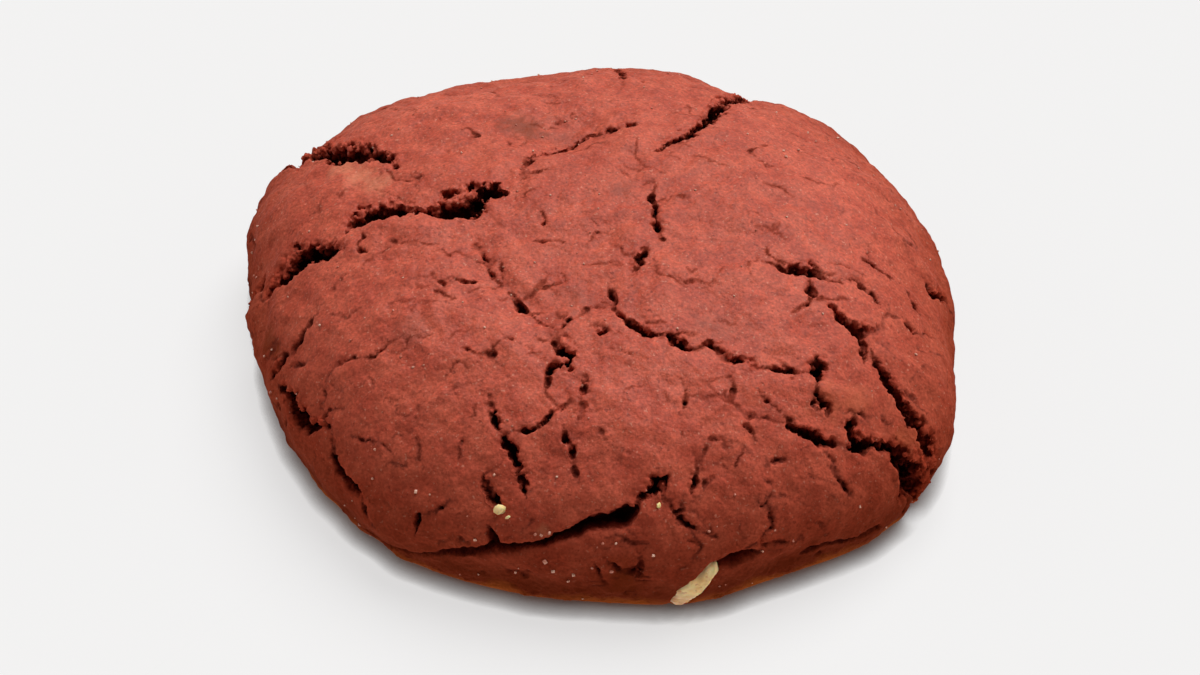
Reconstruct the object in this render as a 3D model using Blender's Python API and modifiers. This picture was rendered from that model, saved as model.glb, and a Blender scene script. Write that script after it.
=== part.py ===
"""Red velvet cookie: thick and round, its crust cracked open, with a white chocolate chunk in its foot.

Metres, +Z up. The cookie lies on its flat underside, the origin under its middle, its near side towards -Y.
Places on the crust are given on a map of it: millimetres from the crown along the crust, right and back.
"""

import itertools
import math
import random

import bmesh
import bpy
from mathutils import Vector, noise

MM = 0.001

# Overall form
HEIGHT = 26.0 * MM
WAIST_HEIGHT = 7.5 * MM  # the level where the cookie is widest
FOOT_INSET = 2.5 * MM  # how far the side draws in from the waist to the underside
PLAN_POWER = 2.4  # above 2, the top stays level for longer before it rounds over
HEIGHT_POWER = 1.9
# Waist radii in mm, one quarter turn a line, anticlockwise from +X
PLAN_RADII = [
    *(45.5, 45.5, 45.0, 45.0, 42.0, 44.5),
    *(43.5, 42.5, 44.5, 47.5, 48.5, 48.5),
    *(45.0, 44.0, 43.5, 43.5, 43.5, 43.0),
    *(43.0, 44.5, 45.0, 47.5, 48.0, 45.5),
]
MEAN_RADIUS = 44.5 * MM
CROWN = (0.75 * MM, 0.15 * MM)  # the crown's place, which brings the middle of the outline to the origin

# Fineness of the faceted crust
SPHERE_SUBDIVISIONS = 5
FOOT_ANGLE = math.radians(122)  # the angle from the sphere's pole that becomes the edge of the underside
LEVEL_ERROR = 0.001 * MM  # a corner lower than this belongs to the underside
PROFILE_STEPS = 200
NORMAL_REACH = 0.4 * MM  # how far to each side the crust's slope is taken
CUT_STEP = 1.9 * MM
CUT_OVER = 1.6 * MM  # how far a cutter stands above the crust
SLIVER = 0.02 * MM  # edges shorter than this are welded away

# Unevenness of the crust
LUMP_SIZE = 13.0 * MM
LUMP_HEIGHT = 0.45 * MM
SEED = 11
LEVEL_FOOT = 10.0 * MM  # the unevenness fades out over this much of the crust above the underside

# Broad swells and hollows of the crust: map place right and back, radius and height in mm
SWELLS = {
    "dent behind the middle plate": (-5.0, 15.5, 5.5, -1.5),
    "middle plate sunk towards the front": (-3.5, -12.0, 8.0, -0.9),
    "left lobe": (-27.0, -11.0, 13.0, 1.0),
    "upper left lobe": (-38.0, 7.0, 8.0, 0.8),
    "back lobe": (-22.0, 22.0, 12.0, 0.6),
    "right lobe": (21.0, 4.0, 15.0, 0.8),
    "front middle lobe": (2.0, -33.0, 7.0, 0.7),
    "front left lobe": (-24.0, -34.0, 11.0, 0.6),
    "front right lobe": (25.0, -38.0, 8.0, 0.7),
    "front foot": (2.0, -54.0, 13.0, 0.9),
    "far right lobe": (43.0, -20.0, 9.0, 0.7),
    "left flake": (-49.5, -4.0, 3.0, 0.9),
    "step behind the notch": (-43.5, 26.5, 4.5, -2.0),
    "ledge in front of the notch": (-41.0, 17.8, 3.8, 0.8),
}

# Cracks through the crust: depth in mm, then the places they run through as (right, back, width) in mm
CRACKS = {
    "top_left_notch": (4.5, [
        (-42.0, 21.5, 4.5), (-35.5, 17.5, 4.5), (-31.0, 14.5, 3.8), (-26.5, 12.0, 2.4),
        (-24.0, 9.5, 1.2),
    ]),
    "upper_left": (5.5, [
        (-31.0, 0.0, 1.2), (-25.0, 1.0, 1.8), (-18.5, 0.0, 4.2), (-14.5, 1.0, 2.4),
        (-11.0, 2.5, 1.0),
    ]),
    "left": (5.0, [(-32.0, -4.0, 1.2), (-36.0, -2.5, 3.2), (-40.0, -2.5, 3.3), (-44.0, -4.5, 1.8)]),
    "left_outer": (2.5, [(-44.5, -0.5, 1.2), (-46.5, -1.5, 2.2), (-49.0, -2.5, 2.0)]),
    "plate_back": (3.0, [(-8.5, 7.0, 0.9), (-6.0, 11.5, 1.5), (-2.0, 15.5, 1.0), (4.5, 16.0, 0.9)]),
    "top_right": (4.0, [
        (7.5, 11.0, 0.9), (12.5, 16.0, 1.9), (16.5, 24.0, 2.5), (20.0, 30.5, 2.6),
        (23.5, 35.5, 1.4),
    ]),
    "plate_right": (2.5, [
        (6.5, 3.0, 0.8), (6.5, -3.0, 1.1), (4.5, -10.0, 1.4), (1.5, -14.5, 0.9), (1.5, -17.0, 0.9),
    ]),
    "valley": (2.5, [(-15.5, -6.0, 0.8), (-13.0, -11.0, 0.9), (-9.5, -16.5, 1.0), (-5.5, -21.0, 1.0)]),
    "main_right": (4.5, [
        (1.0, -16.5, 0.9), (5.0, -20.5, 1.7), (9.0, -21.5, 1.6), (15.0, -22.5, 1.4),
        (21.0, -23.5, 1.3), (25.0, -22.0, 1.6),
    ]),
    "right_drop": (4.0, [(25.0, -20.5, 1.2), (24.5, -23.5, 1.7), (26.0, -28.0, 1.0)]),
    "heart": (4.5, [
        (-5.5, -21.5, 1.0), (-3.5, -24.5, 2.2), (-6.5, -27.5, 1.1), (-5.5, -31.0, 0.8),
        (-11.5, -34.0, 0.8),
    ]),
    "mid_pair": (3.5, [
        (-1.5, -27.0, 0.9), (-1.5, -29.0, 1.3), (-3.0, -32.0, 1.2), (-4.0, -36.0, 0.9),
        (-3.0, -39.5, 0.7),
    ]),
    "fork_left": (4.0, [(-13.5, -29.5, 0.9), (-12.5, -33.0, 1.2), (-10.5, -37.0, 1.7), (-8.5, -42.0, 0.9)]),
    "curl": (3.5, [(-12.0, -38.0, 0.9), (-14.0, -39.5, 1.1), (-13.0, -42.5, 1.5), (-13.5, -46.0, 1.8)]),
    "lip": (5.0, [
        (-37.5, -42.5, 2.6), (-32.0, -46.5, 2.8), (-23.0, -48.0, 2.0), (-13.5, -47.0, 2.5),
        (-3.5, -45.5, 1.8), (4.5, -42.0, 1.9),
    ]),
    "lip_rise": (4.5, [(4.5, -42.0, 1.6), (7.0, -39.0, 1.8), (8.0, -36.0, 0.9)]),
    "lip_under": (3.0, [(8.0, -41.5, 1.0), (9.5, -44.0, 1.0), (13.0, -44.5, 0.8)]),
    "mid_right_low": (3.5, [(12.5, -34.5, 0.9), (11.5, -38.0, 1.4), (11.0, -41.0, 0.8)]),
    "lower_right": (4.5, [(21.0, -30.0, 1.0), (25.0, -31.0, 1.8), (29.0, -31.0, 0.9)]),
    "big_gap": (6.0, [
        (28.5, -27.0, 1.2), (30.0, -30.0, 2.0), (36.0, -30.0, 3.0), (41.0, -32.0, 4.8),
        (45.5, -34.5, 4.2),
    ]),
    "big_gap_top": (4.5, [(30.5, -18.5, 1.0), (34.5, -23.0, 1.5), (38.5, -26.5, 2.2), (40.5, -30.0, 2.6)]),
    "right_upper": (3.5, [(18.5, -8.0, 0.8), (24.5, -9.0, 1.4), (31.5, -9.5, 0.9)]),
    "right_link": (3.0, [(24.0, -9.5, 0.9), (24.0, -12.0, 1.0), (26.0, -14.0, 1.0)]),
    "right_fork": (4.0, [(26.0, -14.0, 1.2), (29.5, -15.5, 2.0), (34.0, -13.5, 0.9)]),
    "right_fork_low": (3.5, [(29.5, -15.5, 1.6), (29.5, -19.5, 0.9)]),
    "right_rim": (2.5, [(37.0, -12.5, 1.0), (38.5, -14.5, 1.0), (41.5, -13.5, 0.8)]),
    "left_low": (4.0, [(-44.0, -19.0, 1.1), (-41.0, -24.0, 2.3), (-38.0, -27.5, 1.9), (-35.0, -28.5, 0.9)]),
    "left_low_tail": (3.0, [
        (-35.0, -29.5, 0.9), (-34.5, -34.0, 1.2), (-32.0, -38.0, 1.1), (-32.0, -41.0, 0.9),
    ]),
    "left_mid": (2.5, [(-36.0, -12.5, 0.8), (-39.0, -15.5, 1.0), (-44.0, -17.5, 1.0)]),
    "left_crease": (2.0, [(-26.0, -20.5, 0.8), (-31.0, -21.0, 0.9), (-34.5, -22.5, 0.8)]),
    "rim_under": (3.0, [(15.0, -48.0, 1.2), (18.0, -47.0, 1.7), (20.5, -44.5, 1.0), (26.0, -43.5, 0.8)]),
    "rim_right": (2.5, [(28.5, -45.0, 0.9), (32.0, -43.0, 1.1), (38.0, -39.0, 1.2)]),
}
LEAN_UP = {"lip": 0.35, "rim_under": 0.3}  # how far a cut turns upwards, so that the crust overhangs it
BLUNT_END = 0.45  # depth at a crack's ends, as a share of its full depth
CUT_FLOOR = 0.25  # width at a crack's bottom, as a share of its width at the crust
WANDER = 0.16  # random shift of a crack's edge, as a share of its width

# White chocolate chunk, bedded in the foot: corners as map place and height out of the crust, in mm
CHUNK_OUTLINE = [
    (13.6, -48.0, -0.4), (15.2, -47.9, -0.3), (15.8, -48.8, -0.2), (14.7, -53.2, -0.3), (13.6, -56.0, -0.2),
    (11.9, -57.2, -0.2), (10.7, -55.9, 0.0), (10.6, -53.0, 0.1), (11.8, -49.9, -0.1),
]
CHUNK_CREST = [
    (14.8, -49.8, 0.7), (14.1, -52.8, 0.8), (13.2, -55.2, 0.6),
    (12.2, -51.5, 0.5), (11.7, -54.5, 0.4), (11.9, -56.0, 0.3),
]
CHUNK_DEPTH = 2.4  # how deep its hidden side lies
CHUNK_EDGE = 0.3 * MM
CHUNK_GAP = 0.3 * MM

# Colour and roughness
DOUGH = ((0.49, 0.116, 0.076), 0.85)
WHITE_CHOCOLATE = ((0.62, 0.42, 0.17), 0.5)


def clear_scene():
    for thing in list(bpy.data.objects):
        bpy.data.objects.remove(thing, do_unlink=True)


def new_collection(name):
    collection = bpy.data.collections.new(name)
    bpy.context.scene.collection.children.link(collection)
    return collection


def new_object(name, shape, collection):
    """Turns a bmesh into a named object."""
    bmesh.ops.recalc_face_normals(shape, faces=shape.faces)
    mesh = bpy.data.meshes.new(name)
    shape.to_mesh(mesh)
    shape.free()
    thing = bpy.data.objects.new(name, mesh)
    collection.objects.link(thing)
    return thing


def give_material(thing, name, look):
    """A plain material of a colour and roughness."""
    colour, roughness = look
    material = bpy.data.materials.new(name)
    material.use_nodes = True
    shader = material.node_tree.nodes["Principled BSDF"]
    shader.inputs["Base Color"].default_value = (*colour, 1.0)
    shader.inputs["Roughness"].default_value = roughness
    shader.inputs["Metallic"].default_value = 0.0
    thing.data.materials.append(material)


def catmull_rom(before, start, end, after, t):
    """The value a share t of the way from start to end, on a smooth curve through all four."""
    return 0.5 * (
        2 * start
        + (end - before) * t
        + (2 * before - 5 * start + 4 * end - after) * t**2
        + (3 * start - before - 3 * end + after) * t**3
    )


def plan_radius(azimuth):
    """The waist's radius towards an azimuth."""
    count = len(PLAN_RADII)
    place = (azimuth % math.tau) / math.tau * count
    first = int(place)
    around = [PLAN_RADII[(first + step) % count] for step in (-1, 0, 1, 2)]
    return catmull_rom(*around, place - first) * MM


def crust_profile():
    """Rows of distance from the crown along the crust, share of the plan radius, inset and height."""
    rows = []
    for step in range(PROFILE_STEPS + 1):
        turn = math.pi / 2 * step / PROFILE_STEPS
        share = math.sin(turn) ** (2 / PLAN_POWER)
        dome = max(math.cos(turn), 0.0) ** (2 / HEIGHT_POWER)
        rows.append([share, 0.0, WAIST_HEIGHT + (HEIGHT - WAIST_HEIGHT) * dome])
    for step in range(1, PROFILE_STEPS + 1):
        turn = math.pi / 2 * step / PROFILE_STEPS
        rows.append([1.0, FOOT_INSET * (1 - math.cos(turn)), WAIST_HEIGHT * (1 - math.sin(turn))])
    far = [0.0]
    for (share, inset, height), (share_2, inset_2, height_2) in zip(rows, rows[1:]):
        out = MEAN_RADIUS * (share_2 - share) - (inset_2 - inset)
        far.append(far[-1] + math.hypot(out, height_2 - height))
    return [[distance, *row] for distance, row in zip(far, rows)]


PROFILE = crust_profile()
CRUST_REACH = PROFILE[-1][0]


def profile_at(distance):
    """Share of the plan radius, inset and height at a distance along the crust."""
    low, high = 0, len(PROFILE) - 1
    distance = min(max(distance, 0.0), CRUST_REACH)
    while high - low > 1:
        middle = (low + high) // 2
        low, high = (middle, high) if PROFILE[middle][0] <= distance else (low, middle)
    start, end = PROFILE[low], PROFILE[high]
    t = (distance - start[0]) / (end[0] - start[0])
    return [a + (b - a) * t for a, b in zip(start[1:], end[1:])]


def smooth_crust(right, back):
    """The point of the plain crust at a map place, in metres."""
    azimuth = math.atan2(back, right)
    share, inset, height = profile_at(math.hypot(right, back))
    radius = plan_radius(azimuth) * share - inset
    return Vector((CROWN[0] + radius * math.cos(azimuth), CROWN[1] + radius * math.sin(azimuth), height))


def crust_normal(right, back):
    """The outward direction of the plain crust at a map place."""
    along = smooth_crust(right + NORMAL_REACH, back) - smooth_crust(right - NORMAL_REACH, back)
    across = smooth_crust(right, back + NORMAL_REACH) - smooth_crust(right, back - NORMAL_REACH)
    return along.cross(across).normalized()


def swell_height(right, back):
    """How far lobes, dents and lumps lift the crust at a map place."""
    lift = 0.0
    for swell_right, swell_back, radius, height in SWELLS.values():
        off = math.hypot(right / MM - swell_right, back / MM - swell_back) / radius
        lift += height * MM * math.exp(-off * off)
    lump = noise.noise(Vector((right, back, SEED * LUMP_SIZE)) / LUMP_SIZE)
    near_floor = min(1.0, (CRUST_REACH - math.hypot(right, back)) / LEVEL_FOOT)
    return (lift + LUMP_HEIGHT * lump) * max(near_floor, 0.0)


def crust_point(right, back):
    """The point of the uneven crust at a map place."""
    return smooth_crust(right, back) + crust_normal(right, back) * swell_height(right, back)


def cookie_body(collection):
    """The whole cookie before it cracks: a sphere drawn out over the crust's profile, flat below."""
    shape = bmesh.new()
    bmesh.ops.create_icosphere(shape, subdivisions=SPHERE_SUBDIVISIONS, radius=1.0)
    middle = Vector((*CROWN, 0.0))
    for vertex in shape.verts:
        x, y, z = vertex.co
        azimuth = math.atan2(y, x)
        angle = math.acos(max(-1.0, min(1.0, z)))
        if angle < FOOT_ANGLE:
            distance = CRUST_REACH * angle / FOOT_ANGLE
            vertex.co = crust_point(distance * math.cos(azimuth), distance * math.sin(azimuth))
            continue
        share = (math.pi - angle) / (math.pi - FOOT_ANGLE)
        edge = smooth_crust(CRUST_REACH * math.cos(azimuth), CRUST_REACH * math.sin(azimuth))
        vertex.co = middle.lerp(edge, share)
    flat = [face for face in shape.faces if all(vertex.co.z < LEVEL_ERROR for vertex in face.verts)]
    bmesh.ops.dissolve_faces(shape, faces=flat)
    return new_object("cookie", shape, collection)


def way_along(places):
    """A crack's (right, back, width) read off a smooth curve through its places, every CUT_STEP."""
    places = [tuple(value * MM for value in place) for place in places]
    last = len(places) - 1
    way = []
    for index in range(last):
        around = [places[min(max(index + step, 0), last)] for step in (-1, 0, 1, 2)]
        length = math.dist(around[1][:2], around[2][:2])
        steps = max(1, round(length / CUT_STEP))
        way += [tuple(catmull_rom(*four, step / steps) for four in zip(*around)) for step in range(steps)]
    return way + [places[-1]]


def crack_sections(name, chance):
    """Four corners of the cutter at each station along a crack: two above the crust and two at its bottom."""
    depth, places = CRACKS[name]
    way = way_along(places)
    sections = []
    for index, (right, back, width) in enumerate(way):
        before, after = way[max(index - 1, 0)], way[min(index + 1, len(way) - 1)]
        ahead = crust_point(*after[:2]) - crust_point(*before[:2])
        out = crust_normal(right, back)
        aside = out.cross(ahead).normalized()
        shift = aside * width * chance.uniform(-WANDER, WANDER)
        top = crust_point(right, back) + shift + out * CUT_OVER
        middle = math.sin(math.pi * (index + 0.5) / len(way)) ** 0.5
        down = (out * -1 + Vector((0, 0, LEAN_UP.get(name, 0.0)))).normalized()
        reach = depth * MM * (BLUNT_END + (1 - BLUNT_END) * middle)
        bottom = crust_point(right, back) + shift + down * reach
        half = width / 2 * chance.uniform(1 - WANDER, 1 + WANDER)
        flare = half * (1 + (1 - CUT_FLOOR) * CUT_OVER / reach)
        low = half * CUT_FLOOR
        flare, low = aside * flare, aside * low
        sections.append([top + flare, top - flare, bottom - low, bottom + low])
    return sections


def crack_cutter(name, collection):
    """A jagged wedge lofted along one crack."""
    chance = random.Random(f"{SEED} {name}")
    shape = bmesh.new()
    rings = [[shape.verts.new(corner) for corner in section] for section in crack_sections(name, chance)]
    for ring, following in zip(rings, rings[1:]):
        for corner in range(4):
            after = (corner + 1) % 4
            shape.faces.new([ring[corner], ring[after], following[after], following[corner]])
    shape.faces.new(rings[0][::-1])
    shape.faces.new(rings[-1])
    bmesh.ops.triangulate(shape, faces=shape.faces)
    return new_object(f"crack_{name}", shape, collection)


def chunk_corners():
    """Corners of the chunk: its crest, its outline at the crust, and the same outline at its hidden side."""
    hidden = [(right, back, -CHUNK_DEPTH) for right, back, _ in CHUNK_OUTLINE]
    for right, back, lift in CHUNK_CREST + CHUNK_OUTLINE + hidden:
        right, back = right * MM, back * MM
        yield crust_point(right, back) + crust_normal(right, back) * lift * MM


def chunk_object(name, gap, collection):
    """An angular lump of white chocolate lying up along the foot, grown by a gap all round for its pocket."""
    shape = bmesh.new()
    for corner in chunk_corners():
        for step in itertools.product((-gap, gap), repeat=3) if gap else [(0, 0, 0)]:
            shape.verts.new(corner + Vector(step))
    hull = bmesh.ops.convex_hull(shape, input=shape.verts)
    inside = [part for part in hull["geom_interior"] if isinstance(part, bmesh.types.BMVert)]
    bmesh.ops.delete(shape, geom=inside, context="VERTS")
    return new_object(name, shape, collection)


def round_edges(thing, width):
    edge = thing.modifiers.new("Worn edges", "BEVEL")
    edge.width = width
    edge.segments = 2


def cut_by(thing, cutters):
    """Takes the cutters of a collection away from an object."""
    cut = thing.modifiers.new(cutters.name, "BOOLEAN")
    cut.operation = "DIFFERENCE"
    cut.operand_type = "COLLECTION"
    cut.collection = cutters
    cut.solver = "EXACT"
    weld = thing.modifiers.new("Weld slivers", "WELD")
    weld.merge_threshold = SLIVER
    for cutter in cutters.objects:
        cutter.hide_render = True
        cutter.display_type = "WIRE"


def main():
    clear_scene()
    parts = new_collection("red_velvet_cookie")
    cutters = new_collection("cutters")
    cookie = cookie_body(parts)
    give_material(cookie, "red velvet dough", DOUGH)
    for name in CRACKS:
        crack_cutter(name, cutters)
    chunk_object("chunk_pocket", CHUNK_GAP, cutters)
    cut_by(cookie, cutters)
    chunk = chunk_object("white_chocolate_chunk", 0.0, parts)
    round_edges(chunk, CHUNK_EDGE)
    give_material(chunk, "white chocolate", WHITE_CHOCOLATE)


main()
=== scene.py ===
"""Red velvet cookie: the cracked crust, crumb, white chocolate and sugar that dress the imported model.

Lengths are millimetres until a mesh is made, and a mesh is in metres, +Z up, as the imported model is.
Places on the crust are given on a map of it: millimetres from the crown along the crust, to the right
and to the back.
"""

import itertools
import math

import bmesh
import bpy
import numpy as np
from mathutils import Matrix, Vector, noise


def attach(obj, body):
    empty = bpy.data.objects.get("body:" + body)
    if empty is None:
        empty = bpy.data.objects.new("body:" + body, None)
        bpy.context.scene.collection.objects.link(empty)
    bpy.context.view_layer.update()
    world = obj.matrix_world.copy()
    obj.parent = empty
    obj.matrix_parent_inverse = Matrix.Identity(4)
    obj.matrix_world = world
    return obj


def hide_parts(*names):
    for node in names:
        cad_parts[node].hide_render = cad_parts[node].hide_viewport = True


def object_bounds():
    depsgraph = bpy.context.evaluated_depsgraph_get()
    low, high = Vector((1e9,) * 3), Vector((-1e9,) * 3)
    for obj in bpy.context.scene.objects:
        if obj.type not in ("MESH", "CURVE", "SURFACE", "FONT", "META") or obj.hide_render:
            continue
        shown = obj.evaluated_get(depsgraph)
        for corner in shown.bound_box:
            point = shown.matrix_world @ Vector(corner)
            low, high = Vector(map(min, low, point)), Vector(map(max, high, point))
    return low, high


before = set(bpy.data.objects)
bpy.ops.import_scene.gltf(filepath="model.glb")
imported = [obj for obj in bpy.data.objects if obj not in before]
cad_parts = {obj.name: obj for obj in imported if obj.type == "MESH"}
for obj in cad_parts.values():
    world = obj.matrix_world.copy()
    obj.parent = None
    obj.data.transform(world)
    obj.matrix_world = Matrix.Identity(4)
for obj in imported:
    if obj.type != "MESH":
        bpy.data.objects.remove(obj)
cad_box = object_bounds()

MM = 0.001
SEED = 11

# The form of the crust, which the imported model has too
HEIGHT = 26.0
WAIST_HEIGHT = 7.5
FOOT_INSET = 2.5  # how far the side draws in from the waist to the underside
PLAN_POWER = 2.4  # above 2, the top stays level for longer before it rounds over
HEIGHT_POWER = 1.9
PLAN_RADII = np.array([  # of the waist, a quarter turn a line, anticlockwise from +X
    *(45.5, 45.5, 45.0, 45.0, 42.0, 44.5),
    *(43.5, 42.5, 44.5, 47.5, 48.5, 48.5),
    *(45.0, 44.0, 43.5, 43.5, 43.5, 43.0),
    *(43.0, 44.5, 45.0, 47.5, 48.0, 45.5),
])
MEAN_RADIUS = 44.5
CROWN = (0.75, 0.15)
LUMP_SIZE = 13.0
LUMP_HEIGHT = 0.45

# Broad swells and hollows of the crust: (right, back, radius, height)
SWELLS = {
    "dent behind the middle plate": (-5.0, 15.5, 5.5, -1.5),
    "middle plate sunk towards the front": (-3.5, -12.0, 8.0, -0.9),
    "left lobe": (-27.0, -11.0, 13.0, 1.0),
    "upper left lobe": (-38.0, 7.0, 8.0, 0.8),
    "back lobe": (-22.0, 22.0, 12.0, 0.6),
    "right lobe": (21.0, 4.0, 15.0, 0.8),
    "front middle lobe": (2.0, -33.0, 7.0, 0.7),
    "front left lobe": (-24.0, -34.0, 11.0, 0.6),
    "front right lobe": (25.0, -38.0, 8.0, 0.7),
    "front foot": (2.0, -54.0, 13.0, 0.9),
    "far right lobe": (43.0, -20.0, 9.0, 0.7),
    "left flake": (-49.5, -4.0, 3.0, 0.9),
    "step behind the notch": (-43.5, 26.5, 4.5, -2.0),
    "ledge in front of the notch": (-41.0, 17.8, 3.8, 0.8),
    "crumb at the lip's right end": (6.4, -43.2, 1.5, 0.5),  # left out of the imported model
}

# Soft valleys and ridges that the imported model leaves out: height and breadth, then the way they follow
FOLDS = {
    "valley right of the left lobe": (
        -0.8, 3.0, [(-18.0, -2.0), (-14.5, -8.0), (-11.5, -14.0), (-7.0, -19.5)],
    ),
    "ridge in front of the upper left crack": (0.5, 2.5, [(-31.0, -4.0), (-25.0, -2.0), (-18.0, -3.0)]),
    "front edge of the middle plate": (0.35, 2.5, [(-4.0, -19.0), (2.0, -22.5), (9.0, -24.5), (16.0, -26.0)]),
    "back edge of the middle plate": (0.5, 2.5, [(-7.0, 4.5), (-3.0, 10.0), (3.0, 12.0)]),
    "lip over the foot": (0.5, 3.0, [(-34.0, -41.5), (-23.0, -44.5), (-12.0, -43.5), (0.0, -41.0)]),
}

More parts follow.
